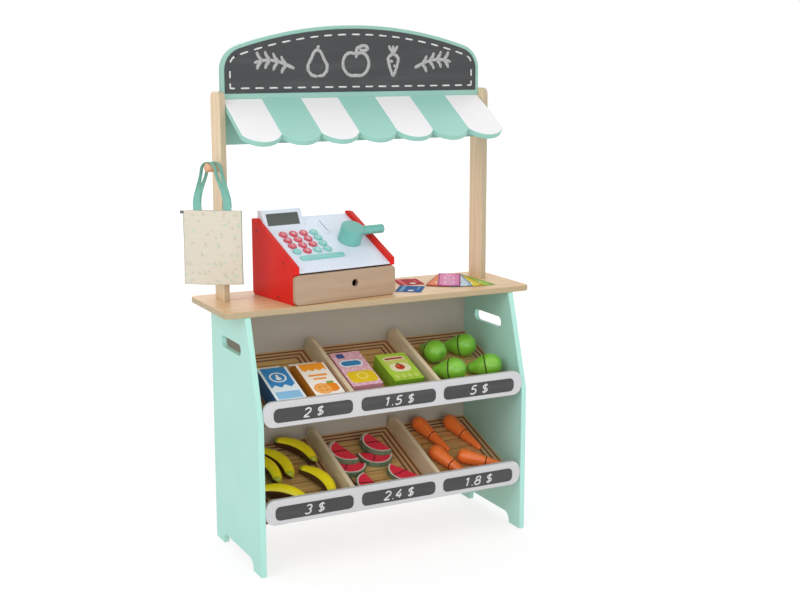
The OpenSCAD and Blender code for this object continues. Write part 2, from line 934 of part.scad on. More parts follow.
// Places of the round keys, counted from the top left.
function key_place(i) = [
    key_u + (i % 4) * key_pitch_u,
    key_s + (3 - floor(i / 4)) * key_pitch_s,
    0
];

module till_deck() {
    low = [pcb_low_u, pcb_low_s] + [pcb_margin, pcb_margin] / 2;
    bosses = [
        low,
        [pcb_high_u - pcb_margin / 2, low[1]],
        [low[0], pcb_high_s - pcb_margin / 2],
        [key_u + 3 * key_pitch_u + key_flange_r + pcb_margin / 2, pcb_high_s - pcb_margin / 2]
    ];
    color("#ECEEF2") difference() {
        union() {
            in_deck() translate([cheek_in, deck_t, -deck_t]) cube([deck_span, deck_rear - deck_t, deck_t]);
            in_deck() translate([card_u, card_s, -deck_t / 2])
                linear_extrude(card_rise + deck_t / 2)
                    rounded(card_w + 2 * card_rim, card_l + 2 * card_rim, card_rim);
            in_deck() for (b = bosses)
                translate([b[0], b[1], -board_drop]) cylinder(r = boss_r, h = board_drop - deck_t / 2);
            in_till() translate([hood_u - hood_width / 2, 0, 0]) upright(hood_width) polygon([
                [hood_v, deck_low_z + hood_v * tan(deck_tilt) - deck_t / 2],
                [hood_v, deck_low_z + hood_v * tan(deck_tilt)],
                [hood_top_v, hood_height],
                [till_depth - deck_t, hood_height],
                [till_depth - deck_t, deck_low_z + (till_depth - deck_t) * tan(deck_tilt) - deck_t / 2]
            ]);
        }
        in_deck() for (i = [0 : 15])
            translate(key_place(i) - [0, 0, overrun]) cylinder(r = key_hole_r, h = 2 * overrun);
        in_deck() translate([bar_u, bar_s, -overrun]) linear_extrude(2 * overrun)
            rounded(bar_l + 2 * loose_gap, bar_w + 2 * loose_gap, bar_r + loose_gap);
        in_deck() translate([card_u, card_s, -overrun]) linear_extrude(3 * overrun)
            square([card_w, card_l], center = true);
        in_deck() translate([drum_u, drum_s, -seat_in])
            cylinder(r = drum_r + loose_gap, h = seat_in + overrun);
        in_hood() translate([0, hood_face / 2, -window_in]) linear_extrude(window_in + overrun)
            square([window_w, window_h], center = true);
    }
}

module till_display_window() {
    color("#4A514B") in_hood() translate([0, hood_face / 2, fit_gap - window_in])
        linear_extrude(window_in - 2 * fit_gap)
            square([window_w - 2 * fit_gap, window_h - 2 * fit_gap], center = true);
}

module till_circuit_board() {
    color("#2F6B4A") in_deck() translate([pcb_low_u, pcb_low_s, -board_drop - fit_gap - pcb_t])
        cube([pcb_high_u - pcb_low_u, pcb_high_s - pcb_low_s, pcb_t]);
}

// One round key, counted from the top left, with the flange that holds it under the deck.
module till_key(i) {
    red = (i % 4 < 3 && i < 12) || i == 13;
    color(red ? "#D6455A" : "#86CFC7") in_deck() translate(key_place(i)) {
        translate([0, 0, key_low]) cylinder(r = key_r, h = key_rise - key_low);
        translate([0, 0, key_low - key_flange_t]) cylinder(r = key_flange_r, h = key_flange_t);
    }
}

module till_key_bar() {
    color("#86CFC7") in_deck() translate([bar_u, bar_s, 0]) {
        translate([0, 0, key_low]) linear_extrude(key_rise - key_low) rounded(bar_l, bar_w, bar_r);
        translate([0, 0, key_low - key_flange_t]) linear_extrude(key_flange_t)
            rounded(bar_l + 2 * key_flange_t, bar_w + 2 * key_flange_t, bar_r + key_flange_t);
    }
}

module till_drawer() {
    low_u = board_t + drawer_play;
    width = till_width - 2 * low_u;
    color("#E3C8A0") in_till() translate([low_u, board_t + fit_gap, drawer_z]) difference() {
        cube([width, drawer_l, drawer_h]);
        translate([drawer_wall, -overrun, drawer_floor])
            cube([width - 2 * drawer_wall, drawer_l - drawer_wall + overrun, drawer_h]);
    }
}

module till_drawer_front() {
    low = 2 * loose_gap;
    color("#D9B88A") in_till() difference() {
        translate([till_width / 2, board_t, (drawer_front_h + low) / 2])
            facing(board_t) rounded(till_width, drawer_front_h - low, drawer_front_r);
        translate([finger_u, -overrun, finger_z]) rotate([-90, 0, 0])
            cylinder(r = finger_r, h = board_t + 2 * overrun);
    }
}

module scanner_drum() {
    color("#86CFC7") in_deck() translate([drum_u, drum_s, 0]) difference() {
        translate([0, 0, loose_gap - seat_in]) cylinder(r = drum_r, h = drum_h);
        translate([drum_r - grip_in, 0, grip_z]) rotate([0, 90, 0])
            cylinder(r = grip_r + fit_gap, h = grip_in + overrun);
    }
}

module scanner_handle() {
    start = drum_r - grip_in + fit_gap;
    color("#74C2BA") in_deck() translate([drum_u + start, drum_s, grip_z]) rotate([0, 90, 0])
        cylinder(r = grip_r, h = grip_l - start);
}

/* Goods */

// Carton lying on its back, gable towards the rear, middle of its front edge at the origin.
module carton() {
    translate([-carton_w / 2, 0, 0]) upright(carton_w) polygon([
        [0, 0],
        [carton_l, 0],
        [carton_l + gable_l, (carton_h - seam_t) / 2],
        [carton_l + gable_l + seam_l, (carton_h - seam_t) / 2],
        [carton_l + gable_l + seam_l, (carton_h + seam_t) / 2],
        [carton_l + gable_l, (carton_h + seam_t) / 2],
        [carton_l, carton_h],
        [0, carton_h]
    ]);
}

// Distance up the tray where a piece of height h just clears the rail.
function behind_rail(h) = h * rail_clear - tray_length + 4 * loose_gap;

// Places goods in a tray by shares of the inside width and of the tray's length.
module in_stock(z, place, turn) {
    in_tray(z) translate([place[0] * inside_width, -place[1] * tray_length, loose_gap])
        rotate(turn) children();
}

module cartons() {
    place_shares = [-0.39, -0.248];
    color("#2F7DB8") for (x = place_shares) in_tray(upper_tray_z)
        translate([x * inside_width, behind_rail(carton_h), loose_gap]) carton();
}

// Snack box lying flat, middle of its front edge at the origin.
module snack_box(length) {
    translate([-box_w / 2, 0, 0]) cube([box_w, length, box_h]);
}

module snack_boxes() {
    long_shares = [-0.09, 0.85];
    short_shares = [0.073, 0.85];
    color("#E8B7C4") {
        in_stock(upper_tray_z, long_shares, 0) snack_box(long_box_l);
        in_stock(upper_tray_z, short_shares, 0) snack_box(short_box_l);
    }
}

// Factor that rounds off the last share of a turned form.
function rounded_off(t, share) = sqrt(max(0, 1 - pow(max(0, t - 1 + share) / share, 4)));

// Shares of a pear: place of its widest part, radius of its neck and length of its rounding.
pear_belly_share = 0.36;
pear_neck_share = 0.4;
pear_round_share = 0.14;

// Radius of a pear at a share of its length, from the round end to the stem.
function pear_at(t) = pear_r * (t < pear_belly_share
    ? sqrt(max(0, 1 - pow(1 - t / pear_belly_share, 2)))
    : mix(1, pear_neck_share, ease((t - pear_belly_share) / (1 - pear_belly_share)))
        * rounded_off(t, pear_round_share));

// Lean of a lying pear in degrees.
pear_lean = 20;

// Pear lying on its side, its middle over the origin and its stem along +y.
module pear() {
    step_shares = [0.03, 0.08, 0.15, 0.24, 0.36, 0.48, 0.6, 0.7, 0.8, 0.88, 0.94, 0.98];
    sit = max([for (t = step_shares) t * pear_l * sin(pear_lean) + pear_at(t) * cos(pear_lean)]);
    translate([0, -pear_r, sit]) rotate([-90 - pear_lean, 0, 0]) rotate_extrude()
        polygon(concat([[0, 0]], [for (t = step_shares) [pear_at(t), t * pear_l]], [[0, pear_l]]));
}

module pears() {
    place_shares = [[0.266, 0.43, 8], [0.402, 0.38, 50], [0.28, 0.735, 52], [0.428, 0.735, 65]];
    color("#6DB52A") for (p = place_shares)
        in_stock(upper_tray_z, p, p[2]) pear();
}

// Shares of a carrot: place of its shoulder, radii of its crown and tip and length of its rounding.
carrot_shoulder_share = 0.16;
carrot_crown_share = 0.45;
carrot_tip_share = 0.34;
carrot_round_share = 0.07;

// Radius of a carrot at a share of its length, from the thick end to the tip.
function carrot_at(t) = carrot_r * (t < carrot_shoulder_share
    ? mix(carrot_crown_share, 1, sqrt(max(0, 1 - pow(1 - t / carrot_shoulder_share, 2))))
    : mix(1, carrot_tip_share, (t - carrot_shoulder_share) / (1 - carrot_shoulder_share))
        * rounded_off(t, carrot_round_share));

// Carrot lying with its thick end at the origin and its tip along -y.
module carrot() {
    step_shares = [0, 0.04, 0.09, 0.16, 0.5, 0.93, 0.97];
    lean_share = 0.6;
    lean = atan2(carrot_r * lean_share, carrot_l);
    sit = max([for (t = step_shares) t * carrot_l * sin(lean) + carrot_at(t) * cos(lean)]);
    translate([0, 0, sit]) rotate([90 + lean, 0, 0]) rotate_extrude()
        polygon(concat([[0, 0]], [for (t = step_shares) [carrot_at(t), t * carrot_l]], [[0, carrot_l]]));
}

module carrots() {
    place_shares = [[0.262, 0.064, 15], [0.39, 0.102, 15], [0.24, 0.508, 21], [0.3226, 0.64, 59]];
    color("#E8772B") for (p = place_shares) in_stock(lower_tray_z, p, p[2]) carrot();
}

// Shares of a banana: radius of its ends, and where its swelling begins and stops.
banana_end_share = 0.34;
banana_swell_shares = [0.06, 0.95];

// Half of a banana's bend in degrees.
banana_reach = 40;

// Ring of a banana at a share of its length.
function banana_ring(t) =
    let(
        a = mix(-banana_reach, banana_reach, t),
        swell = sin(180 * mix(banana_swell_shares[0], banana_swell_shares[1], t)),
        r = banana_r * mix(banana_end_share, 1, pow(swell, 0.7)),
        out = [cos(a), sin(a), 0]
    )
    [for (j = [0 : 9])
        out * (banana_bend + r * cos(36 * j)) + [-banana_bend, 0, banana_r * sin(72) + r * sin(36 * j)]];

// Banana lying on its side, its outward bend along +x.
module banana() {
    skin([for (i = [0 : 10]) banana_ring(i / 10)]);
}

module bananas() {
    place_shares = [[-0.242, 0.209, 33], [-0.337, 0.35, 19], [-0.231, 0.666, 19],
        [-0.3835, 0.76, 53], [-0.3925, 0.397, 19]];
    color("#E9C91F") for (p = place_shares) in_stock(lower_tray_z, p, p[2]) banana();
}

// Half-round melon slice, straight side on the x axis and rind towards -y.
module melon_slice() {
    linear_extrude(melon_t) difference() {
        circle(melon_r);
        translate([-2 * melon_r, 0]) square([4 * melon_r, 2 * melon_r]);
    }
}

module melon_slices() {
    low_shares = [[0.0269, 0.4055, -10], [-0.0932, 0.478, -20], [0.0645, 0.256, -69],
        [-0.0789, 0.307, -69], [-0.0502, 0.794, -79], [0.0932, 0.7, -51]];
    high_shares = [[-0.0824, 0.367, -69], [0.0591, 0.3137, -69]];
    color("#C8333F") {
        for (p = low_shares) in_stock(lower_tray_z, p, p[2]) melon_slice();
        for (p = high_shares) in_stock(lower_tray_z, p, p[2])
            translate([0, 0, melon_t + loose_gap]) melon_slice();
    }
}

module play_money() {
    card_shares = [[0.4372, 0.698, 78], [0.3153, 0.3366, 54]];
    fan_share = [0.8781, 0.9158];
    fan_turns = [0, -10, -20, -40, -30];
    color("#B32A36") translate([0, counter_front, counter_height + fit_gap]) {
        for (p = card_shares)
            translate([p[0] * half_in, p[1] * counter_depth, 0])
                rotate(p[2]) linear_extrude(card_t) rounded(card_length, card_width, card_r);
        for (i = [0 : 4])
            translate([fan_share[0] * half_in, fan_share[1] * counter_depth, i * (note_t + fit_gap)])
                rotate(fan_turns[i]) translate([-note_w / 2, -note_l, 0]) cube([note_w, note_l, note_t]);
    }
}

/* Bag */

// Outline of the bag seen from above, drawn in by a wall.
module bag_outline(wall) {
    intersection_for(s = [-1, 1])
        translate([0, s * (bag_bow - bag_half)]) circle(bag_bow - wall, $fn = arc_fn);
}

module bag_body() {
    color("#DDD5C2") in_bag() translate([0, 0, bag_low_z]) difference() {
        linear_extrude(bag_height) bag_outline(0);
        translate([0, 0, bag_hem]) linear_extrude(bag_height) bag_outline(bag_cloth);
    }
}

// Direction of the bag's width and of its front.
bag_along = [cos(bag_turn), -sin(bag_turn), 0];
bag_ahead = [-sin(bag_turn), -cos(bag_turn), 0];

// Depth of the bag's face below the inner edge of a handle.
strap_rise = sqrt(pow(bag_bow, 2) - pow(strap_x - strap_w / 2, 2)) - bag_bow;
strap_seat = strap_rise + bag_half + loose_gap + strap_t / 2;

// Lower end of a handle: face is 1 at the bag's front and -1 at its back.
function strap_foot(face, side, z) =
    [bag_x, bag_y, z] + bag_along * side * strap_x + bag_ahead * face * strap_seat;

// Direction in which the handles cross the peg, and of their width there.
strap_way = [cos(strap_turn), -sin(strap_turn), 0];
strap_wide = [sin(strap_turn), cos(strap_turn), 0];

// Places of the two handles along the peg.
strap_shares = [0.393, 0.772];

// Place along the peg where a handle lies.
function strap_peg_x(face) = -half_out - (face > 0 ? strap_shares[1] : strap_shares[0]) * peg_length;

// Cross-section of a handle from its middle, direction of width, width and direction of thickness.
function strap_ring(c, w, width, n) = [
    c - w * width / 2 - n * strap_t / 2,
    c + w * width / 2 - n * strap_t / 2,
    c + w * width / 2 + n * strap_t / 2,
    c - w * width / 2 + n * strap_t / 2
];

// Cross-section of a hanging leg: t is 0 at the peg and 1 at the bag's rim.
function strap_leg(face, side, t) =
    let(
        top = [strap_peg_x(face), peg_y, strap_mid] + strap_way * side * strap_bend,
        foot = strap_foot(face, side, bag_rim),
        flat = mix(top, foot, ease(t)),
        w = unit(mix(strap_wide, bag_along, ease(t)))
    )
    strap_ring(
        [flat[0], flat[1], mix(strap_mid, bag_rim, t)],
        w,
        mix(strap_gather, strap_w, pow(ease(t), 2)),
        cross(w, [0, 0, -side])
    );

// Cross-section over the peg, a degrees from its rear side.
function strap_over(face, a) = strap_ring(
    [strap_peg_x(face), peg_y, strap_mid + strap_bend * sin(a)] - strap_way * strap_bend * cos(a),
    strap_wide,
    strap_gather,
    strap_way * cos(a) - [0, 0, sin(a)]
);

// Cross-section of a handle's sewn end.
function strap_end(face, side) = strap_ring(
    strap_foot(face, side, bag_rim - strap_sewn),
    bag_along,
    strap_w,
    cross(bag_along, [0, 0, -side])
);

module bag_handles() {
    step_share = 0.2;
    leg_shares = [0 : step_share : 1 - step_share];
    color("#7FB8A8") for (face = [-1, 1]) skin(concat(
        [strap_end(face, -1)],
        [for (t = leg_shares) strap_leg(face, -1, 1 - t)],
        [for (a = [0 : 15 : 180]) strap_over(face, a)],
        [for (t = leg_shares) strap_leg(face, 1, t + step_share)],
        [strap_end(face, 1)]
    ));
}

left_side_panel();
right_side_panel();
back_panel();
back_battens();
back_screws();
counter_top();
left_post();
right_post();
dowels();
bag_peg();
sign_board();
chalkboard_panel();
awning_board();
awning_brackets();
upper_tray_floor();
lower_tray_floor();
tray_dividers();
upper_price_rail();
lower_price_rail();
price_plates();
tray_battens();
till_left_cheek();
till_right_cheek();
till_base();
till_back();
till_deck();
till_deck_cleats();
till_cheek_screws();
till_display_window();
till_circuit_board();
till_key(0);  // till_key_01
till_key(1);  // till_key_02
till_key(2);  // till_key_03
till_key(3);  // till_key_04
till_key(4);  // till_key_05
till_key(5);  // till_key_06
till_key(6);  // till_key_07
till_key(7);  // till_key_08
till_key(8);  // till_key_09
till_key(9);  // till_key_10
till_key(10);  // till_key_11
till_key(11);  // till_key_12
till_key(12);  // till_key_13
till_key(13);  // till_key_14
till_key(14);  // till_key_15
till_key(15);  // till_key_16
till_key_bar();
till_drawer();
till_drawer_front();
scanner_drum();
scanner_handle();
cartons();
snack_boxes();
pears();
carrots();
bananas();
melon_slices();
play_money();
bag_body();
bag_handles();
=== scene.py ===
"""Looks of a toy market stall: painted boards, a toy till, wooden goods, play money and a cloth bag.

Lengths are in metres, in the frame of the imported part: +Z up, customer's side towards -Y.
"""

import json
import logging
import math
from collections.abc import Callable, Sequence
from dataclasses import dataclass, field, replace
from enum import Enum
from functools import cache, partial

import bmesh
import bpy
from mathutils import Matrix, Vector, noise

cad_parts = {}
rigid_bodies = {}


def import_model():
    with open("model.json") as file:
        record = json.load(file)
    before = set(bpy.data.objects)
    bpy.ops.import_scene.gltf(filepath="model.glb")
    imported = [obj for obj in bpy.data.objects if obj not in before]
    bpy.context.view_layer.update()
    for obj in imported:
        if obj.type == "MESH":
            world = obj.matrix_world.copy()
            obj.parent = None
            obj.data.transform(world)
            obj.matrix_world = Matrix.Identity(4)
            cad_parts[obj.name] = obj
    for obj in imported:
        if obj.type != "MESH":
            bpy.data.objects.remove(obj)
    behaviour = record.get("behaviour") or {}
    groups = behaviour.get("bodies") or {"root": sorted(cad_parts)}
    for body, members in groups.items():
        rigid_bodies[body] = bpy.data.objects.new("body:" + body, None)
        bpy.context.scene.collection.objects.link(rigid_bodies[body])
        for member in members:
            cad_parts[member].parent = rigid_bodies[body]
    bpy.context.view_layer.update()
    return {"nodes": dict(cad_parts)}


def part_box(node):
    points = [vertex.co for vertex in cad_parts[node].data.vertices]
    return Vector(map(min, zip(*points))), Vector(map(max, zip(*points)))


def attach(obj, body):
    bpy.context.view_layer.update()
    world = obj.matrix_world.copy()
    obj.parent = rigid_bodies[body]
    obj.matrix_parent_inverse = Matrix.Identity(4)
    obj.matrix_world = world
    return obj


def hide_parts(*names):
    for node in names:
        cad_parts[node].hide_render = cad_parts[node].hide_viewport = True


LOG = logging.getLogger("market_stall")
MM = 0.001
Socket = bpy.types.NodeSocket
Signal = Socket | float | tuple[float, ...]
Mesh = bmesh.types.BMesh
Rows = list[list[bmesh.types.BMFace]]
Point = tuple[float, float]
Spot = tuple[float, float, float]
Stroke = list[Point]


def rgb(code: str) -> tuple[float, float, float, float]:
    """Linear colour of a six-digit sRGB code."""
    channels = [int(code[i : i + 2], 16) / 255 for i in (0, 2, 4)]
    linear = [c / 12.92 if c <= 0.04045 else ((c + 0.055) / 1.055) ** 2.4 for c in channels]
    return (*linear, 1.0)


def ease(t: float) -> float:
    """Smooth step between 0 and 1."""
    t = min(1.0, max(0.0, t))
    return t * t * (3 - 2 * t)


def mix(a: float, b: float, t: float) -> float:
    """Value between two others."""
    return a + (b - a) * t


def shares(steps: int) -> list[float]:
    """Even shares from 0 to 1."""
    return [i / steps for i in range(steps + 1)]


def spin(angle: float, axis: str = "Z") -> Matrix:
    """Matrix of a turn about an axis."""
    return Matrix.Rotation(angle, 4, axis)


WHITE = rgb("FFFFFF")
ORIGIN = (0.0, 0.0, 0.0)


class Weaver:
    """Adds and joins shader nodes in one node tree."""

    def __init__(self, tree: bpy.types.NodeTree) -> None:
        self.tree = tree

    def feed(self, socket: Socket, value: Signal) -> None:
        """Links a socket's value into an input, or sets the input to a constant."""
        if isinstance(value, Socket):
            self.tree.links.new(value, socket)
        else:
            socket.default_value = value

    def add(self, kind: str, *inputs: Signal | None, out: int = 0, **settings: str) -> Socket:
        """Adds a node.

        Args:
            kind: the node's type without its ShaderNode prefix.
            inputs: values for its inputs in order; None leaves one as it is.
            out: which output to give back.
            settings: the node's own properties.

        Returns:
            The chosen output.
        """
        node = self.tree.nodes.new("ShaderNode" + kind)
        for name, value in settings.items():
            setattr(node, name, value)
        for socket, value in zip(node.inputs, inputs):
            if value is not None:
                self.feed(socket, value)
        return node.outputs[out]

    def math(self, operation: str, a: Signal, b: Signal = 0.5, c: Signal = 0.5) -> Socket:
        """A Math node."""
        return self.add("Math", a, b, c, operation=operation)

    def times(self, a: Signal, b: Signal) -> Socket:
        """Product of two values."""
        return self.math("MULTIPLY", a, b)

    def minus(self, a: Signal, b: Signal) -> Socket:
        """Difference of two values."""
        return self.math("SUBTRACT", a, b)

    def line(self, value: Signal, slope: Signal, base: Signal) -> Socket:
        """A value times a slope, plus a base."""
        return self.math("MULTIPLY_ADD", value, slope, base)

    def most(self, a: Signal, b: Signal) -> Socket:
        """The larger of two values."""
        return self.math("MAXIMUM", a, b)

    def off(self, value: Signal, middle: Signal) -> Socket:
        """Distance of a value from another."""
        return self.math("ABSOLUTE", self.minus(value, middle))

    def wave(self, value: Signal, turns: Signal, start: Signal = 0.0) -> Socket:
        """Sine of a value times its turns in radians, from a start."""
        return self.math("SINE", self.line(value, turns, start))

    def share(self, value: Signal, pitch: float) -> Socket:
        """Share of the way from one multiple of the pitch to the next."""
        return self.math("FRACT", self.math("DIVIDE", value, pitch))

    def vector(self, operation: str, a: Signal, b: Signal = ORIGIN, out: int = 0) -> Socket:
        """A Vector Math node; output 1 is its value."""
        return self.add("VectorMath", a, b, operation=operation, out=out)

    def tint(self, color: Signal, factor: Signal) -> Socket:
        """A colour made lighter or darker by a factor."""
        plain = color[:3] if isinstance(color, tuple) else color
        return self.add("VectorMath", plain, None, None, factor, operation="SCALE")

    def blend(self, factor: Signal, a: Signal, b: Signal) -> Socket:
        """Colour a where the factor is 0 and b where it is 1."""
        node = self.tree.nodes.new("ShaderNodeMix")
        node.data_type = "RGBA"
        for place, value in ((0, factor), (6, a), (7, b)):
            self.feed(node.inputs[place], value)
        return node.outputs[2]

    def ramp(self, value: Signal, low: float, high: float) -> Socket:
        """Smooth step of a value, 0 at low and 1 at high."""
        return self.add("MapRange", value, low, high, 0.0, 1.0, interpolation_type="SMOOTHSTEP")

    def noise(self, vector: Signal, scale: float, detail: float = 2.0) -> Socket:
        """Noise between 0 and 1."""
        return self.add("TexNoise", vector, None, scale, detail)

    def streaks(self, vector: Signal, scale: Spot, detail: float) -> Socket:
        """Noise with a scale of its own along each axis."""
        return self.noise(self.vector("MULTIPLY", vector, scale), 1.0, detail)

    def split(self, vector: Signal) -> tuple[Socket, ...]:
        """The three parts of a vector."""
        return tuple(self.add("SeparateXYZ", vector).node.outputs)

    def join(self, x: Signal, y: Signal, z: Signal = 0.0) -> Socket:
        """A vector from its parts."""
        return self.add("CombineXYZ", x, y, z)

    def place(self) -> Socket:
        """Place on the piece, in its own metres."""
        return self.add("TexCoord", out=3)

    def facing(self) -> Socket:
        """Direction that the surface faces, in the piece's own axes."""
        return self.add("TexCoord", out=1)

    def faces(self, way: Spot) -> Socket:
        """How far the surface faces a way, from -1 to 1."""
        return self.vector("DOT_PRODUCT", self.facing(), way, out=1)

    def rays(self, *kinds: str) -> Socket:
        """1 for light paths of these kinds and 0 for others."""
        seen = self.add("LightPath").node.outputs
        found = seen[kinds[0]]
        for kind in kinds[1:]:
            found = self.most(found, seen[kind])
        return found

    def use(self, group: "Group", **inputs: Signal) -> dict[str, Socket]:
        """Places a node group.

        Args:
            group: the group.
            inputs: its inputs by name.

        Returns:
            Its outputs by name.
        """
        node = self.tree.nodes.new("ShaderNodeGroup")
        node.node_tree = group.tree
        for name, value in inputs.items():
            self.feed(node.inputs[name], value)
        return {socket.name: socket for socket in node.outputs}

    def patch(self, x: Signal, y: Signal, centre: Point, half: Point, corner: float) -> Socket:
        """Mask of a rounded rectangle, or of a disc where the corner is half its size."""
        shape = {"Centre": (*centre, 0.0), "Half": (*half, 0.0), "Corner": corner}
        return self.use(patch_group(), Vector=self.join(x, y), **shape)["Mask"]


SOCKET_KINDS = {1: "NodeSocketFloat", 3: "NodeSocketVector", 4: "NodeSocketColor"}


class Group:
    """A shader node group with named inputs and outputs."""

    def __init__(self, name: str, inputs: dict[str, Signal], outputs: dict[str, Signal]) -> None:
        self.tree = bpy.data.node_groups.new(name, "ShaderNodeTree")
        for side, sockets in (("INPUT", inputs), ("OUTPUT", outputs)):
            for label, value in sockets.items():
                kind = SOCKET_KINDS[len(value) if isinstance(value, tuple) else 1]
                made = self.tree.interface.new_socket(label, in_out=side, socket_type=kind)
                made.default_value = value
        self.weaver = Weaver(self.tree)
        self.source = self.tree.nodes.new("NodeGroupInput")
        self.sink = self.tree.nodes.new("NodeGroupOutput")

    def __getitem__(self, label: str) -> Socket:
        """One of the group's inputs."""
        return self.source.outputs[label]

    def give(self, **values: Signal) -> "Group":
        """Joins values to the group's outputs."""
        for label, value in values.items():
            self.weaver.feed(self.sink.inputs[label], value)
        return self


@cache
def grain_group() -> Group:
    """Wood grain along the vector's x axis, as a colour and a height."""
    inputs = {"Vector": ORIGIN, "Light": WHITE, "Dark": WHITE, "Figure": 1.0}
    group = Group("Wood grain", inputs, {"Color": WHITE, "Height": 0.0})
    w, place = group.weaver, group["Vector"]
    ring_turns, ring_lean, ring_sway, ring_share = 330.0, 0.62, 26.0, 0.16
    flow_share, fibre_share, pore_share, tone_middle = 0.9, 0.7, 0.35, 0.62
    flow = w.streaks(place, (2.4, 17.0, 17.0), 3.0)
    fibres = w.streaks(place, (28.0, 900.0, 900.0), 3.0)
    pores = w.streaks(place, (60.0, 1500.0, 1500.0), 1.0)
    _, y, z = w.split(place)
    rings = w.wave(w.line(z, ring_lean, y), ring_turns, w.times(flow, ring_sway))
    tone = w.line(rings, ring_share, w.times(w.minus(flow, 0.5), flow_share))
    tone = w.line(w.minus(fibres, 0.5), fibre_share, tone)
    tone = w.line(tone, group["Figure"], tone_middle)
    color = w.blend(w.ramp(tone, 0.0, 1.0), group["Dark"], group["Light"])
    speck = w.times(w.ramp(pores, 0.66, 0.78), pore_share)
    color = w.blend(speck, color, w.tint(group["Dark"], 0.8))
    return group.give(Color=color, Height=fibres)


@cache
def film_group() -> Group:
    """A coat of paint or a moulded skin: clouding, gloss and a fine relief."""
    inputs = {"Vector": ORIGIN, "Color": WHITE, "Clouding": 0.06, "Gloss": 0.4}
    group = Group("Paint film", inputs, {"Color": WHITE, "Roughness": 0.4, "Height": 0.0})
    w, place = group.weaver, group["Vector"]
    cloud_scale, cloud_gloss = 13.0, 0.22
    grit_scale, grit_gloss = 620.0, 0.12
    cloud, grit = w.noise(place, cloud_scale, 4.0), w.noise(place, grit_scale)
    shade = w.line(w.minus(0.5, cloud), group["Clouding"], 1.0)
    rough = w.line(w.minus(cloud, 0.5), cloud_gloss, group["Gloss"])
    rough = w.line(w.minus(grit, 0.5), grit_gloss, rough)
    return group.give(Color=w.tint(group["Color"], shade), Roughness=rough, Height=grit)


@cache
def dust_group() -> Group:
    """Wiped chalk dust over a dark board."""
    group = Group("Chalk dust", {"Vector": ORIGIN, "Color": WHITE}, {"Color": WHITE, "Roughness": 0.8})
    w, place = group.weaver, group["Vector"]
    chalk, thin, thick = rgb("C9C9C7"), 0.01, 0.05
    smooth, uneven = 0.62, 0.2
    wipe = w.streaks(place, (9.0, 60.0, 60.0), 5.0)
    grit = w.noise(place, 1400.0)
    dust = w.times(w.ramp(wipe, 0.42, 0.8), w.line(grit, thick, thin))
    return group.give(Color=w.blend(dust, group["Color"], chalk), Roughness=w.line(grit, uneven, smooth))


@cache
def weave_group() -> Group:
    """A plain weave across the vector's x and y, as a shade and a height."""
    group = Group("Plain weave", {"Vector": ORIGIN, "Pitch": MM}, {"Shade": 1.0, "Height": 0.0})
    w = group.weaver
    darkest, slub_share, thread_share = 0.84, 0.16, 0.1
    sway = w.times(w.noise(group["Vector"], 260.0), 2.0)
    turns = w.math("DIVIDE", 2 * math.pi, group["Pitch"])
    x, y, _ = w.split(group["Vector"])
    over = w.line(w.times(w.wave(x, turns, sway), w.wave(y, turns, sway)), 0.5, 0.5)
    slub = w.streaks(group["Vector"], (40.0, 900.0, 900.0), 2.0)
    shade = w.line(over, thread_share, w.line(slub, slub_share, darkest))
    return group.give(Shade=shade, Height=over)


@cache
def patch_group() -> Group:
    """Mask of a rounded rectangle in the vector's x and y."""
    inputs = {"Vector": ORIGIN, "Centre": ORIGIN, "Half": (MM, MM, 0.0), "Corner": 0.0}
    group = Group("Printed patch", inputs, {"Mask": 0.0})
    w, blur = group.weaver, 0.2 * MM
    away = w.vector("ABSOLUTE", w.vector("SUBTRACT", group["Vector"], group["Centre"]))
    x, y, _ = w.split(w.vector("SUBTRACT", away, group["Half"]))
    x, y = (w.math("ADD", part, group["Corner"]) for part in (x, y))
    outer = w.vector("LENGTH", w.join(w.most(x, 0.0), w.most(y, 0.0)), out=1)
    inner = w.math("MINIMUM", w.most(x, y), 0.0)
    far = w.minus(w.math("ADD", outer, inner), group["Corner"])
    return group.give(Mask=w.minus(1.0, w.ramp(far, -blur, blur)))


@dataclass(frozen=True)
class Look:
    """What a finish gives to its shader."""

    color: Signal
    roughness: Signal
    height: Signal | None = None
    relief: float = 0.0


def coated(w: Weaver, color: Signal, clouding: float, gloss: float, relief: float) -> Look:
    """The look of a paint film.

    Args:
        w: adds the nodes.
        color: the paint's colour.
        clouding: strength of its clouding.
        gloss: its middle roughness.
        relief: depth of its fine relief.

    Returns:
        The look.
    """
    film = w.use(film_group(), Vector=w.place(), Color=color, Clouding=clouding, Gloss=gloss)
    return Look(film["Color"], film["Roughness"], film["Height"], relief)


@dataclass(frozen=True)
class Finish:
    """A surface finish; each kind paints its own look."""

    name: str
    coat: float = 0.0
    sheen: float = 0.0
    specular: float = 0.5
    metallic: float = 0.0
    coat_roughness: float = 0.25
    bump: float = 0.6

    def look(self, w: Weaver) -> Look:
        """The colour, roughness and relief of this finish."""
        raise NotImplementedError

    @cache
    def material(self) -> bpy.types.Material:
        """The finish as a material, made once."""
        made = bpy.data.materials.new(self.name)
        made.use_nodes = True
        w = Weaver(made.node_tree)
        shader = made.node_tree.nodes["Principled BSDF"]
        look = self.look(w)
        settings = {
            "Base Color": look.color,
            "Roughness": look.roughness,
            "Metallic": self.metallic,
            "Coat Weight": self.coat,
            "Coat Roughness": self.coat_roughness,
            "Sheen Weight": self.sheen,
            "Specular IOR Level": self.specular,
        }
        if look.height is not None:
            bump = made.node_tree.nodes.new("ShaderNodeBump")
            relief = {"Strength": self.bump, "Distance": look.relief, "Height": look.height}
            for label, value in relief.items():
                w.feed(bump.inputs[label], value)
            settings["Normal"] = bump.outputs["Normal"]
        for label, value in settings.items():
            w.feed(shader.inputs[label], value)
        return made


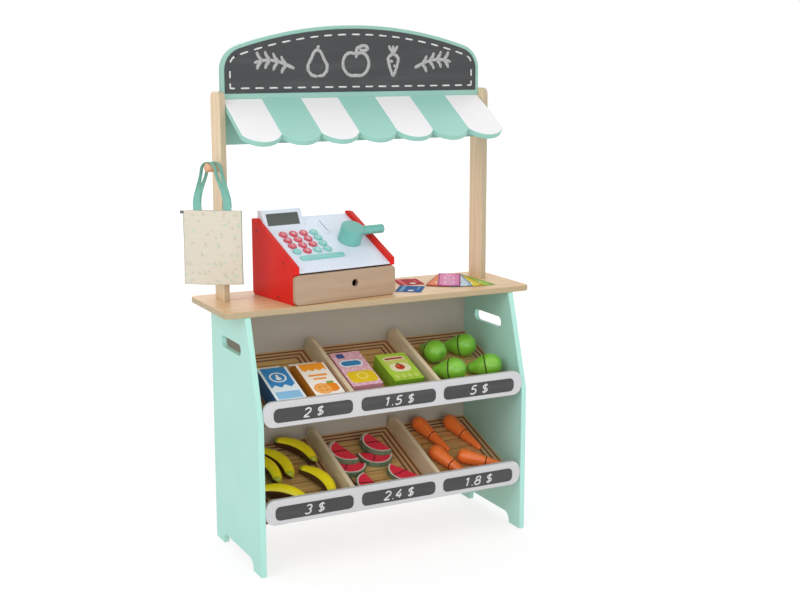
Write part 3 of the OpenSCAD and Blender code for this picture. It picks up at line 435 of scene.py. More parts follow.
class Along(Enum):
    """Axis of a board that its grain follows."""

    X = (0.0, 0.0, 0.0)
    Y = (0.0, 0.0, -math.pi / 2)
    Z = (0.0, math.pi / 2, 0.0)


@dataclass(frozen=True)
class Wood(Finish):
    """Clear-lacquered wood; faces that turn away from its unshaded way take its edge colour, if it has one,
    as a painted shade.
    """

    light: str = "E4C79D"
    dark: str = "CFA976"
    along: Along = Along.X
    turn: float = 0.0
    figure: float = 0.8
    gloss: float = 0.42
    # edge: colour of the painted shade on faces that turn away from the unshaded way; empty for none
    edge: str = ""
    painted_shade_cover: float = 0.85
    unshaded_way: Spot = (0.0, 0.0, 1.0)

    def look(self, w: Weaver) -> Look:
        """Grain along the board, under a thin lacquer."""
        turned = w.add("Mapping", w.place(), None, (0.0, 0.0, -self.turn), vector_type="POINT")
        place = w.add("Mapping", turned, None, self.along.value, vector_type="POINT")
        tones = {"Light": rgb(self.light), "Dark": rgb(self.dark), "Figure": self.figure}
        grain = w.use(grain_group(), Vector=place, **tones)
        film = w.use(film_group(), Vector=place, Color=grain["Color"], Clouding=0.05, Gloss=self.gloss)
        color = film["Color"]
        # Painted shade: faces that turn away from the unshaded way are darkened towards the edge colour.
        if self.edge:
            cut = w.ramp(w.math("ABSOLUTE", w.faces(self.unshaded_way)), 0.85, 0.5)
            color = w.blend(w.times(cut, self.painted_shade_cover), color, rgb(self.edge))
        return Look(color, film["Roughness"], grain["Height"], 0.03 * MM)


@dataclass(frozen=True, kw_only=True)
class Paint(Finish):
    """Painted board or moulded plastic of one colour."""

    color: str
    gloss: float = 0.42
    clouding: float = 0.06
    relief: float = 0.02 * MM

    def look(self, w: Weaver) -> Look:
        """One colour with clouding and a fine relief."""
        return coated(w, rgb(self.color), self.clouding, self.gloss, self.relief)


@dataclass(frozen=True, kw_only=True)
class Slate(Finish):
    """Chalkboard paint."""

    color: str

    def look(self, w: Weaver) -> Look:
        """Dark board with wiped chalk dust."""
        dust = w.use(dust_group(), Vector=w.place(), Color=rgb(self.color))
        return Look(dust["Color"], dust["Roughness"], dust["Roughness"], 0.02 * MM)


@dataclass(frozen=True)
class Chalk(Finish):
    """Chalk strokes, grainy where the board shows through."""

    color: str = "E6E6E4"
    ground: str = "77777A"
    cover: float = 0.42

    def look(self, w: Weaver) -> Look:
        """Chalk grains over the board's colour."""
        grain = w.streaks(w.place(), (900.0, 900.0, 420.0), 3.0)
        mask = w.ramp(grain, self.cover - 0.14, self.cover + 0.1)
        return Look(w.blend(mask, rgb(self.ground), rgb(self.color)), 0.9, grain, 0.05 * MM)


@dataclass(frozen=True)
class Metal(Finish):
    """Plated screw heads."""

    metallic: float = 1.0
    color: str = "B9BCC0"

    def look(self, w: Weaver) -> Look:
        """Fine brushed plating."""
        brush = w.streaks(w.place(), (300.0, 2600.0, 300.0), 2.0)
        return Look(rgb(self.color), w.line(brush, 0.25, 0.25), brush, 0.01 * MM)


@dataclass(frozen=True)
class StripedPaint(Finish):
    """The awning: white and mint slats with a scored line between them."""

    mint: str = "98CDC0"
    white: str = "EEEDEE"
    slats: int = 7
    slat_width: float = 79.4 * MM
    slope: float = math.radians(31.5)
    line: float = 1.1 * MM
    score: float = 8.0

    def look(self, w: Weaver) -> Look:
        """White on every other slat's upper face, mint elsewhere."""
        x, _, _ = w.split(w.place())
        slat = w.line(x, 1 / self.slat_width, self.slats / 2)
        share = w.math("FRACT", slat)
        even = w.math("LESS_THAN", w.math("MODULO", w.math("FLOOR", slat), 2.0), 0.5)
        side = w.math("MINIMUM", share, w.minus(1.0, share))
        inside = w.ramp(side, 0.4 * self.line / self.slat_width, self.line / self.slat_width)
        top = w.ramp(w.faces((0.0, -math.sin(self.slope), math.cos(self.slope))), 0.9, 0.97)
        white = w.times(even, w.times(inside, top))
        paint = coated(w, w.blend(white, rgb(self.mint), rgb(self.white)), 0.05, 0.4, 0.04 * MM)
        return replace(paint, height=w.line(inside, self.score, paint.height))


@dataclass(frozen=True)
class CratePrint(Finish):
    """A tray floor printed with the laths of three crates."""

    rear: float = 0.1079
    slope: float = math.radians(19.5)
    pitch: float = 188.5 * MM
    half: float = 90 * MM
    lath: float = 11 * MM
    laths: int = 3
    plank: float = 31 * MM
    straw: tuple[str, str] = ("E2BE7C", "C0904E")
    seam_ink: str = "6E4522"
    lath_inks: tuple[str, str] = ("D2B083", "7E4A2B")

    def look(self, w: Weaver) -> Look:
        """Brown lath lines round each bin over straw-coloured planks."""
        place = w.place()
        x, y, _ = w.split(place)
        column = w.math("ROUND", w.math("DIVIDE", x, self.pitch))
        across = w.math("ABSOLUTE", w.line(column, -self.pitch, x))
        down = w.math("DIVIDE", w.minus(self.rear, y), math.cos(self.slope))
        rim = w.math("MINIMUM", w.minus(self.half, across), down)
        light, dark = (rgb(ink) for ink in self.straw)
        grain = w.use(grain_group(), Vector=place, Light=light, Dark=dark, Figure=1.2)
        seam = w.ramp(w.off(w.share(down, self.plank), 0.5), 0.04, 0.015)
        plank = w.blend(seam, grain["Color"], rgb(self.seam_ink))
        line = w.ramp(w.off(w.share(rim, self.lath), 0.5), 0.25, 0.19)
        border = w.blend(line, *(rgb(ink) for ink in self.lath_inks))
        color = w.blend(w.math("LESS_THAN", rim, self.laths * self.lath), plank, border)
        return Look(color, 0.5, grain["Height"], 0.02 * MM)


@dataclass(frozen=True, kw_only=True)
class FruitPaint(Finish):
    """Painted fruit with a soft change of colour along its length."""

    color: str
    end: str
    blush: str
    reach: float = 0.12

    def look(self, w: Weaver) -> Look:
        """Body colour with darker ends and a mottled blush."""
        along, _, _ = w.split(w.add("UVMap"))
        ends = w.most(w.ramp(along, self.reach, 0.0), w.ramp(along, 1 - self.reach, 1.0))
        mottle = w.ramp(w.noise(w.place(), 90.0, 4.0), 0.5, 0.78)
        color = w.blend(mottle, rgb(self.color), rgb(self.blush))
        color = w.blend(w.times(ends, 0.8), color, rgb(self.end))
        return coated(w, color, 0.1, 0.36, 0.03 * MM)


@dataclass(frozen=True)
class BananaPaint(Finish):
    """Yellow banana with green tips and a brown lower side, partly brown paint and partly painted shade."""

    yellow: str = "FFEC1E"
    green: str = "86A52C"
    brown_and_shade: str = "4A2A14"
    fleck: str = "B9861E"

    def look(self, w: Weaver) -> Look:
        """Colours by the place along and round the fruit."""
        along, _, _ = w.split(w.add("UVMap"))
        x, _, z = w.split(w.facing())
        # Brown paint and painted shade: faces that turn down and towards the inside of the bend are blended
        # to brown.
        under = w.ramp(w.line(x, 0.8, z), -0.22, -0.4)
        tips = w.most(w.ramp(along, 0.09, 0.03), w.ramp(along, 0.9, 0.97))
        flecks = w.ramp(w.noise(w.place(), 420.0), 0.66, 0.74)
        color = w.blend(w.times(flecks, 0.12), rgb(self.yellow), rgb(self.fleck))
        color = w.blend(w.times(tips, 0.75), color, rgb(self.green))
        color = w.blend(under, color, rgb(self.brown_and_shade))
        return coated(w, color, 0.12, 0.4, 0.03 * MM)


@dataclass(frozen=True)
class MelonPaint(Finish):
    """Melon slice: red flesh, a white ring and a grey-green rind."""

    radius: float = 37 * MM
    reds: tuple[str, str] = ("FA3250", "FA4C5E")
    ring: str = "EDE7DC"
    rind: str = "71866B"
    stripe: str = "3F6B45"

    def look(self, w: Weaver) -> Look:
        """Rings of colour by the distance from the middle of the straight side."""
        place = w.place()
        x, y, _ = w.split(place)
        far = w.math("DIVIDE", w.vector("LENGTH", w.join(x, y), out=1), self.radius)
        pulp = w.ramp(w.noise(place, 160.0, 4.0), 0.45, 0.8)
        color = w.blend(pulp, *(rgb(red) for red in self.reds))
        color = w.blend(w.ramp(far, 0.86, 0.885), color, rgb(self.ring))
        color = w.blend(w.ramp(far, 0.945, 0.965), color, rgb(self.rind))
        stripes = w.ramp(w.streaks(place, (110.0, 110.0, 20.0), 3.0), 0.5, 0.62)
        stripes = w.times(w.ramp(far, 0.95, 0.97), stripes)
        color = w.blend(w.times(stripes, 0.5), color, rgb(self.stripe))
        return coated(w, color, 0.08, 0.42, 0.03 * MM)


@dataclass(frozen=True)
class Swatch:
    """One printed patch: its colour, and its middle, half size and corner in millimetres."""

    color: str
    centre: Point
    half: Point
    corner: float

    def over(self, w: Weaver, x: Signal, y: Signal, color: Signal) -> Socket:
        """A colour with this patch printed over it."""
        centre, half = ((a * MM, b * MM) for a, b in (self.centre, self.half))
        return w.blend(w.patch(x, y, centre, half, self.corner * MM), color, rgb(self.color))


def disc(color: str, x: float, y: float, radius: float) -> Swatch:
    """A round printed patch, in millimetres."""
    return Swatch(color, (x, y), (radius, radius), radius)


@dataclass(frozen=True, kw_only=True)
class PackPrint(Finish):
    """Printed pack: a wavy field, dots and patches on its upper face over plain sides."""

    ground: str
    side: str
    patches: tuple[Swatch, ...]
    wave: str = ""
    wave_at: float = 0.0
    wave_swing: float = 4 * MM
    wave_pitch: float = 20 * MM
    wave_blur: float = 0.4 * MM
    dots: str = ""
    dot_pitch: float = 11 * MM

    def look(self, w: Weaver) -> Look:
        """The print colours from the ground up."""
        place = w.place()
        x, y, _ = w.split(place)
        color: Signal = rgb(self.ground)
        if self.dots:
            cell = w.add("TexVoronoi", place, None, 1 / self.dot_pitch, voronoi_dimensions="2D")
            color = w.blend(w.ramp(cell, 0.24, 0.2), color, rgb(self.dots))
        if self.wave:
            level = w.line(w.wave(x, 2 * math.pi / self.wave_pitch), -self.wave_swing, y)
            field_mask = w.ramp(level, self.wave_at, self.wave_at + self.wave_blur)
            color = w.blend(field_mask, color, rgb(self.wave))
        for patch in self.patches:
            color = patch.over(w, x, y, color)
        color = w.blend(w.ramp(w.faces((0.0, 0.0, 1.0)), 0.25, 0.4), rgb(self.side), color)
        return coated(w, color, 0.06, 0.38, 0.015 * MM)


@dataclass(frozen=True, kw_only=True)
class PaperPrint(Finish):
    """Printed paper or card with a border and patches."""

    ground: str
    border: str
    half: Point
    patches: tuple[Swatch, ...]
    specular: float = 0.03
    margin: float = 2.5 * MM
    corner: float = 1.5 * MM

    def look(self, w: Weaver) -> Look:
        """A border, patches and fine guilloche lines."""
        place = w.place()
        x, y, _ = w.split(place)
        inner = (self.half[0] - self.margin, self.half[1] - self.margin)
        lines = w.wave(w.line(y, 0.35, x), 4200.0)
        ground = w.tint(rgb(self.ground), w.line(lines, 0.05, 1.0))
        color = w.blend(w.patch(x, y, (0.0, 0.0), inner, self.corner), rgb(self.border), ground)
        for patch in self.patches:
            color = patch.over(w, x, y, color)
        fibre = w.noise(place, 1800.0)
        return Look(color, w.line(fibre, 0.15, 0.45), fibre, 0.01 * MM)


@dataclass(frozen=True)
class Cloth(Finish):
    """Cream cotton with a scattered pale leaf print and a sewn hem."""

    color: str = "DED6C4"
    thread: float = 0.9 * MM
    prints: tuple[str, ...] = ("BFD3C2", "C6C6AE", "CFC4AC")
    print_pitch: float = 19 * MM
    print_bend: float = 13 * MM
    hem: float = 128 * MM
    stitch: float = 3.4 * MM
    stitch_ink: str = "F4EFE2"
    seam: float = 54.2 * MM
    seam_ink: str = "A9C9B8"

    def look(self, w: Weaver) -> Look:
        """Weave, scattered motifs and a stitched line under the rim."""
        x, _, z = w.split(w.place())
        flat = w.join(x, z)
        weave = w.use(weave_group(), Vector=flat, Pitch=self.thread)
        color: Signal = rgb(self.color)
        for i, ink in enumerate(self.prints):
            shifted = w.vector("ADD", flat, (0.031 * i, 0.017 * i, 0.0))
            swirl = w.tint(w.add("TexNoise", shifted, None, 170.0, out=1), self.print_bend)
            bent = w.vector("ADD", shifted, swirl)
            cell = w.add("TexVoronoi", bent, None, 1 / self.print_pitch, voronoi_dimensions="2D").node
            pick, _, _ = w.split(cell.outputs["Color"])
            motif = w.ramp(cell.outputs["Distance"], 0.22, 0.1)
            shown = w.times(motif, w.times(w.math("GREATER_THAN", pick, 0.5), 0.7))
            color = w.blend(shown, color, rgb(ink))
        run = w.math("GREATER_THAN", w.share(x, self.stitch), 0.3)
        stitches = w.times(w.ramp(w.off(z, self.hem), 0.5 * MM, 0.3 * MM), run)
        color = w.blend(w.times(stitches, 0.45), w.tint(color, weave["Shade"]), rgb(self.stitch_ink))
        color = w.blend(w.ramp(x, self.seam, self.seam + 0.6 * MM), color, rgb(self.seam_ink))
        return Look(color, 0.9, w.line(stitches, 1.5, weave["Height"]), 0.12 * MM)


@dataclass(frozen=True)
class Webbing(Finish):
    """Woven cotton tape; its length runs along u."""

    color: str = "7DB9A9"
    length: float = 0.3
    width: float = 16 * MM
    thread: float = 1.5 * MM

    def look(self, w: Weaver) -> Look:
        """Weave with worn patches."""
        along, around, _ = w.split(w.add("UVMap"))
        flat = w.join(w.times(along, self.length), w.times(around, 2 * self.width))
        weave = w.use(weave_group(), Vector=flat, Pitch=self.thread)
        worn = w.line(w.noise(w.place(), 60.0, 3.0), 0.2, 0.92)
        color = w.tint(rgb(self.color), w.times(weave["Shade"], worn))
        return Look(color, 0.85, weave["Height"], 0.15 * MM)


@dataclass(frozen=True)
class DisplayGlass(Finish):
    """Dark display behind a glossy window."""

    color: str = "434A43"

    def look(self, w: Weaver) -> Look:
        """Dark green-grey with faint columns of cells."""
        place = w.place()
        x, _, _ = w.split(place)
        columns = w.times(w.wave(x, 5200.0), 0.03)
        shade = w.math("ADD", w.line(w.noise(place, 30.0), 0.2, 0.9), columns)
        return Look(w.tint(rgb(self.color), shade), 0.16)


MINT = Paint("mint_paint", specular=0.3, color="B4E6DA")
MINT_SIGN = Paint("mint_sign_paint", specular=0.3, color="97C3B6")
WHITE_PAINT = Paint("white_paint", color="CFCED0", gloss=0.38)
BACK_BOARD = Paint("back_board", color="B4AEA2", gloss=0.6, clouding=0.08)
# The counter's and the posts' edge colours are painted shade on their side faces.
COUNTER_WOOD = Wood("counter_wood", specular=0.3, light="E4C49A", dark="CFA473", edge="B3A282")
POST_WOOD = Wood(
    "post_wood", light="F2DAB6", dark="DFBA90", along=Along.Z, edge="B4A68A", unshaded_way=(1.0, 0.0, 0.0)
)
TRAY_WOOD = Wood("divider_wood", light="EADBBF", dark="D3BE98", along=Along.Y, figure=0.6)
HIDDEN_WOOD = Wood("batten_wood", light="E0C296", dark="C49C67", along=Along.Y)
PEG_WOOD = Wood("peg_wood", light="E6B48F", dark="D19470")
TILL_TURN = math.radians(8)
TILL_WOOD = Wood("till_wood", light="BBA085", dark="A78B70", turn=TILL_TURN, figure=0.6)
SLATE = Slate("chalkboard_paint", color="3D3E40")
PLATE = Slate("price_plate_paint", color="404041")
CHALK = Chalk("chalk")
CHALK_SOFT = Chalk("soft_chalk", color="C4C4C2", ground="6C6C6E", cover=0.46)
RED_PAINT = Paint("red_paint", specular=0.12, color="DE261D", gloss=0.4, clouding=0.05)
DARK_RED = Paint("screw_red", color="7A1F1C", gloss=0.5)
DECK = Paint("white_plastic", color="E8EEFC", gloss=0.34, clouding=0.03)
RED_KEY = Paint("red_key", color="D5435A", gloss=0.32, coat=0.2)
TEAL_KEY = Paint("teal_key", color="86CFC7", gloss=0.32, coat=0.2)
TEAL = Paint("teal_plastic", color="74BDB3", gloss=0.36)
CIRCUIT = Paint("circuit_board", color="2F6B4A", gloss=0.45)
INK = Paint("key_print", color="FBF3F4", gloss=0.5)
STEEL = Metal("screw_steel")
CUT = Paint("cut_line", color="2B1A10", gloss=0.8)


def loft(bm: Mesh, rings: Sequence[Sequence[Vector]], low: bool = True, high: bool = True) -> Rows:
    """Skin through closed rings of equal length, with u along and v around.

    Args:
        bm: the mesh that is being built.
        rings: the rings' points.
        low: close the first ring.
        high: close the last ring.

    Returns:
        The rows of faces between the rings.
    """
    layer = bm.loops.layers.uv.verify()
    rows = [[bm.verts.new(p) for p in ring] for ring in rings]
    count, last, made = len(rings[0]), len(rings) - 1, []
    for i in range(last):
        made.append([])
        for j in range(count):
            k = (j + 1) % count
            face = bm.faces.new((rows[i][j], rows[i][k], rows[i + 1][k], rows[i + 1][j]))
            for loop, (a, b) in zip(face.loops, ((i, j), (i, j + 1), (i + 1, j + 1), (i + 1, j))):
                loop[layer].uv = (a / last, b / count)
            made[-1].append(face)
    if low:
        bm.faces.new(rows[0][::-1])
    if high:
        bm.faces.new(rows[-1])
    return made


def circle(radius: float, height: float, sides: int) -> list[Vector]:
    """Points of a circle about z."""
    angles = [2 * math.pi * i / sides for i in range(sides)]
    return [Vector((radius * math.cos(a), radius * math.sin(a), height)) for a in angles]


def mark(rows: Rows) -> None:
    """Gives rows of faces the piece's second finish."""
    for row in rows:
        for face in row:
            face.material_index = 1


WELD_REACH = 0.005 * MM
FLAT_ANGLE = math.radians(0.5)
SHARP_ANGLE = math.radians(32)
EDGE_STEPS = 3


def soften(piece: bpy.types.Object, edge: float, dissolve: bool = True) -> None:
    """Rounds a piece's sharp edges by modifiers.

    Args:
        piece: the object.
        edge: width of the rounding.
        dissolve: join the flat faces first.
    """
    weld = piece.modifiers.new("weld", "WELD")
    weld.merge_threshold = WELD_REACH
    if dissolve:
        flat = piece.modifiers.new("flat", "DECIMATE")
        flat.decimate_type, flat.angle_limit = "DISSOLVE", FLAT_ANGLE
    bevel = piece.modifiers.new("edge", "BEVEL")
    bevel.width, bevel.segments = edge, EDGE_STEPS
    bevel.limit_method, bevel.angle_limit = "ANGLE", SHARP_ANGLE
    bevel.use_clamp_overlap = False
    normals = piece.modifiers.new("normals", "WEIGHTED_NORMAL")
    normals.keep_sharp = False


@dataclass
class Workshop:
    """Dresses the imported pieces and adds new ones."""

    nodes: dict[str, bpy.types.Object]

    def dress(self, finish: Finish, edge: float, *names: str, dissolve: bool = True) -> None:
        """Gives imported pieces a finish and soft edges.

        Args:
            finish: the finish.
            edge: width of the rounded edges, or 0 for none.
            names: the pieces' node names.
            dissolve: join the flat faces before the edges are rounded.
        """
        for name in names:
            piece = self.nodes[name]
            piece.data.materials.clear()
            piece.data.materials.append(finish.material())
            if edge:
                piece.data.shade_smooth()
                soften(piece, edge, dissolve)
            LOG.info("dressed %s", name)

    def add(
        self,
        name: str,
        body: str,
        slot: str,
        finishes: Sequence[Finish],
        build: Callable[[Mesh], None],
        place: Matrix = Matrix(),
        replaces: str = "",
        edge: float = 0.0,
    ) -> bpy.types.Object:
        """Adds a new piece.

        Args:
            name: the piece's name.
            body: the body that it rides on.
            slot: the record's material slot; not used.
            finishes: its finishes, in the order of the faces' material numbers.
            build: fills the mesh.
            place: where the mesh goes.
            replaces: the node that it stands for, if any.
            edge: width of the rounded edges, or 0 for none.

        Returns:
            The new object.
        """
        bm = bmesh.new()
        build(bm)
        bmesh.ops.recalc_face_normals(bm, faces=bm.faces)
        mesh = bpy.data.meshes.new(name)
        bm.to_mesh(mesh)
        bm.free()
        mesh.shade_smooth()
        for finish in finishes:
            mesh.materials.append(finish.material())
        piece = bpy.data.objects.new(name, mesh)
        bpy.context.scene.collection.objects.link(piece)
        piece.matrix_world = place
        if edge:
            soften(piece, edge)
        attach(piece, body)
        if replaces:
            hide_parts(replaces)
        LOG.info("added %s", name)
        return piece


def arc(centre: Point, radii: Point, start: float, stop: float, steps: int = 12) -> Stroke:
    """Points of an elliptic arc between two angles in degrees."""
    angles = [math.radians(mix(start, stop, t)) for t in shares(steps)]
    return [(centre[0] + radii[0] * math.cos(a), centre[1] + radii[1] * math.sin(a)) for a in angles]


GLYPHS: dict[str, list[Stroke]] = {
    "0": [arc((0.3, 0.5), (0.27, 0.48), 100, 470, 24)],
    "1": [[(0.12, 0.76), (0.36, 0.98)], [(0.36, 1.0), (0.36, 0.0)]],
    "2": [arc((0.3, 0.7), (0.27, 0.28), 165, -35) + [(0.04, 0.02)], [(0.04, 0.02), (0.6, 0.02)]],
    "3": [arc((0.27, 0.74), (0.26, 0.25), 150, -80), arc((0.27, 0.26), (0.29, 0.27), 85, -150)],
    "4": [[(0.42, 1.0), (0.02, 0.32)], [(0.02, 0.3), (0.62, 0.3)], [(0.44, 0.62), (0.44, 0.0)]],
    "5": [
        [(0.55, 0.98), (0.14, 0.98)],
        [(0.14, 0.98), (0.09, 0.56)],
        arc((0.28, 0.31), (0.29, 0.3), 135, -150),
    ],
    "6": [arc((0.5, 0.45), (0.46, 0.54), 95, 190), arc((0.3, 0.29), (0.26, 0.28), 180, -180, 20)],
    "7": [[(0.03, 0.98), (0.58, 0.98)], [(0.58, 0.98), (0.2, 0.0)]],
    "8": [arc((0.3, 0.74), (0.22, 0.24), 90, 450, 20), arc((0.3, 0.26), (0.28, 0.26), 90, 450, 20)],
    "9": [arc((0.3, 0.71), (0.26, 0.28), 0, 360, 20), arc((0.06, 0.55), (0.5, 0.54), 10, -75)],
    ".": [[(0.1, 0.0), (0.17, 0.05)]],
    "$": [
        arc((0.3, 0.71), (0.24, 0.21), 30, 265) + arc((0.3, 0.29), (0.26, 0.22), 88, -150),
        [(0.3, 1.08), (0.3, -0.08)],
    ],
    "+": [[(0.05, 0.5), (0.6, 0.5)], [(0.32, 0.22), (0.32, 0.78)]],
    "-": [[(0.05, 0.5), (0.6, 0.5)]],
    "x": [[(0.08, 0.26), (0.56, 0.74)], [(0.08, 0.74), (0.56, 0.26)]],
    "=": [[(0.05, 0.64), (0.6, 0.64)], [(0.05, 0.36), (0.6, 0.36)]],
}


ADVANCE = {" ": 0.45, ".": 0.36}
LETTER_ADVANCE = 0.8
LETTER_GAP = 0.2
STROKE_ENDS = (0.45, 0.85, 1.0)


@dataclass(frozen=True)
class Pen:
    """Draws strokes as thin ribbons in the x-y plane of their place."""

    width: float
    rise: float = 0.25 * MM
    wobble: float = 0.0
    stretch: float = 1.0
    stack: float = 0.03 * MM
    wobble_scale: float = 700.0
    step: float = 0.4

    def stroke(self, bm: Mesh, points: Stroke, level: float = 0.0) -> None:
        """Draws one stroke with round ends.

        Args:
            bm: the mesh that is being built.
            points: the stroke's points.
            level: height of its lower face.
        """
        path = self.resample(points)
        last = len(path) - 1
        rings = []
        for i, here in enumerate(path):
            ahead = (path[min(i + 1, last)] - path[max(i - 1, 0)]).normalized()
            side = Vector((-ahead.y, ahead.x))
            half = self.width / 2 * STROKE_ENDS[min(i, last - i, 2)]
            half *= 1 + self.wobble * noise.noise(Vector((here.x, here.y, level)) * self.wobble_scale)
            low, high = here - side * half, here + side * half
            top = level + self.rise
            corners = ((low, level), (high, level), (high, top), (low, top))
            rings.append([Vector((*p, z)) for p, z in corners])
        loft(bm, rings)

    def resample(self, points: Stroke) -> list[Vector]:
        """The stroke at even steps."""
        corners = [Vector(p) for p in points]
        lengths = [(b - a).length for a, b in zip(corners, corners[1:])]
        count = max(4, round(sum(lengths) / (self.step * self.width)))
        path, walked, i = [], 0.0, 0
        for k in range(count + 1):
            goal = sum(lengths) * k / count
            while i < len(lengths) - 1 and walked + lengths[i] < goal:
                walked += lengths[i]
                i += 1
            path.append(corners[i].lerp(corners[i + 1], (goal - walked) / max(lengths[i], 1e-9)))
        return path

    def write(self, bm: Mesh, text: str, height: float, slant: float = 0.0) -> None:
        """Writes figures about the origin.

        Args:
            bm: the mesh that is being built.
            text: the figures.
            height: height of the figures.
            slant: lean of the figures.
        """
        steps = [ADVANCE.get(letter, LETTER_ADVANCE) for letter in text]
        at = (LETTER_GAP - sum(steps)) / 2
        for n, (letter, step) in enumerate(zip(text, steps)):
            for m, line in enumerate(GLYPHS.get(letter, [])):
                ahead = [(at + x) * self.stretch + slant * (y - 0.5) for x, y in line]
                placed = [(x * height, (y - 0.5) * height) for x, (_, y) in zip(ahead, line)]
                self.stroke(bm, placed, self.stack * (n + m))
            at += step


FACING_FRONT = spin(math.pi / 2, "X")
PROUD = 0.05 * MM


@dataclass
class Carcass:
    """Panels, counter, posts and back."""

    edge: float = 1.2 * MM
    fine: float = 0.5 * MM

    def dress(self, shop: Workshop) -> None:
        """Paints and lacquers the boards."""
        shop.dress(MINT, self.edge, "left_side_panel", "right_side_panel")
        shop.dress(BACK_BOARD, self.fine, "back_panel")
        shop.dress(COUNTER_WOOD, 2 * self.edge, "counter_top")
        shop.dress(POST_WOOD, self.fine, "left_post", "right_post", dissolve=False)
        shop.dress(Wood("dowel_wood", along=Along.Z), self.fine, "dowels")
        shop.dress(PEG_WOOD, 0.0, "bag_peg")
        shop.dress(Wood("upright_batten_wood", along=Along.Z), self.fine, "back_battens")
        shop.dress(STEEL, 0.25 * MM, "back_screws")


@dataclass
class Sign:
    """Arched sign with a dashed chalk border and a chalk ornament, over a striped awning."""

    half: float = 278.9 * MM
    arch: float = 800 * MM
    top: float = 1021 * MM
    low: float = 893 * MM
    inset: float = 17.6 * MM
    low_inset: float = 9.5 * MM
    bend: float = 20 * MM
    dash: float = 17.5 * MM
    gap: float = 11.5 * MM
    leg: float = 9.5 * MM
    edge: float = 1.2 * MM
    middle: float = 951 * MM

    def dress(self, shop: Workshop) -> None:
        """Paints the boards and draws the chalk."""
        shop.dress(MINT_SIGN, self.edge, "sign_board")
        shop.dress(SLATE, 0.3 * MM, "chalkboard_panel")
        shop.dress(StripedPaint("awning_paint"), 1.6 * MM, "awning_board")
        shop.dress(POST_WOOD, self.edge, "awning_brackets")
        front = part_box("chalkboard_panel")[0].y - PROUD
        place = Matrix.Translation((0, front, 0)) @ FACING_FRONT
        shop.add("sign_border", "stall", "chalkboard", [CHALK], self.border, place)
        shop.add("sign_ornament", "stall", "chalkboard", [CHALK_SOFT], self.ornament, place)

    def border(self, bm: Mesh) -> None:
        """Dashes inside the chalkboard's edge, bent round its four corners."""
        pen = Pen(3.1 * MM, wobble=0.25)
        half, arch = self.half - self.inset, self.arch - self.inset
        corner_x, base, foot = half - self.bend, self.top - self.arch, self.low + self.low_inset
        corner_z = base + math.sqrt((arch - self.bend) ** 2 - corner_x**2)
        tip = math.degrees(math.atan2(corner_z - base, corner_x))
        reach = math.degrees(0.5 * self.leg / arch)
        self.dashes(bm, pen, arc((0.0, base), (arch, arch), 180 - tip + reach, tip - reach, 80))
        self.dashes(bm, pen, [(-half + self.leg, foot), (half - self.leg, foot)])
        for side in (-1, 1):
            turn = arc((corner_x, corner_z), (self.bend, self.bend), 0, tip, 8)
            over = arc((0.0, base), (arch, arch), tip, tip - reach, 4)
            upper = [*turn[2:], *over]
            lower = [(half, foot + self.leg), (half, foot), (half - self.leg, foot)]
            middle, short = (foot + self.leg + corner_z) / 2, 0.4 * self.dash
            upright = [(half, middle - short), (half, middle + short)]
            for line in (upper, lower, upright):
                pen.stroke(bm, [(side * x, z) for x, z in line])

    def dashes(self, bm: Mesh, pen: Pen, line: Stroke) -> None:
        """Even dashes along a line, with a gap at both of its ends.

        Args:
            bm: the mesh that is being built.
            pen: the chalk.
            line: the line.
        """
        path = Pen(1.0 * MM).resample(line)
        length = sum((b - a).length for a, b in zip(path, path[1:]))
        count = round((length - self.gap) / (self.dash + self.gap))
        gap = (length - count * self.dash) / (count + 1)
        for i in range(count):
            start = gap + i * (self.dash + gap)
            ends = (start / length, (start + self.dash) / length)
            first, last = (round(share * (len(path) - 1)) for share in ends)
            pen.stroke(bm, [tuple(p) for p in path[first : last + 1]])

    def ornament(self, bm: Mesh) -> None:
        """Chalk drawing of an apple, a pear and a carrot between leafy sprigs."""
        pen = Pen(6.4 * MM, wobble=0.3)
        for strokes, x, size in (
            (self.apple(), 0.0, 62 * MM),
            (self.pear(), -82 * MM, 60 * MM),
            (self.carrot(), 82 * MM, 60 * MM),
            (self.sprig(1), 130 * MM, 64 * MM),
            (self.sprig(-1), -130 * MM, 64 * MM),
        ):
            for level, line in enumerate(strokes):
                placed = [(x + size * px, self.middle + size * pz) for px, pz in line]
                pen.stroke(bm, placed, level * pen.stack)

    def apple(self) -> list[Stroke]:
        """Outline of an apple with a stem and a leaf."""
        body = []
        for degrees in range(90, 455, 6):
            dent = 0.3 * math.exp(-(((degrees - 90) % 360 / 26) ** 2))
            dent += 0.3 * math.exp(-(((450 - degrees) / 26) ** 2)) * (degrees > 270)
            foot = 0.12 * math.exp(-(((degrees - 270) / 20) ** 2))
            a, r = math.radians(degrees), 0.42 * (1 - dent - foot)
            body.append((1.08 * r * math.cos(a), r * math.sin(a) - 0.06))
        stem = [(0.0, 0.22), (0.03, 0.38), (0.1, 0.5)]
        leaf = arc((0.27, 0.42), (0.15, 0.08), 200, -160, 14)
        return [body, stem, leaf]

    def pear(self) -> list[Stroke]:
        """Outline of a pear with a stem."""
        side = [(0.2, -0.43), (0.33, -0.28), (0.34, -0.1), (0.22, 0.1), (0.14, 0.28), (0.07, 0.36)]
        outline = [(0.0, -0.46), *side, (0.0, 0.38), *((-x, y) for x, y in side[::-1]), (0.0, -0.46)]
        return [outline, [(0.0, 0.4), (0.05, 0.53)]]

    def carrot(self) -> list[Stroke]:
        """Outline of a carrot with its leaves."""
        side = [(0.0, -0.5), (0.12, -0.22), (0.2, 0.08), (0.12, 0.2), (0.0, 0.22)]
        leaves = [[(0.0, 0.24), (dx, 0.52)] for dx in (-0.17, 0.0, 0.17)]
        marks = [[(-0.14, 0.02), (0.0, -0.01)], [(0.1, -0.14), (0.0, -0.16)]]
        return [side, [(-x, y) for x, y in side], *leaves, *marks]

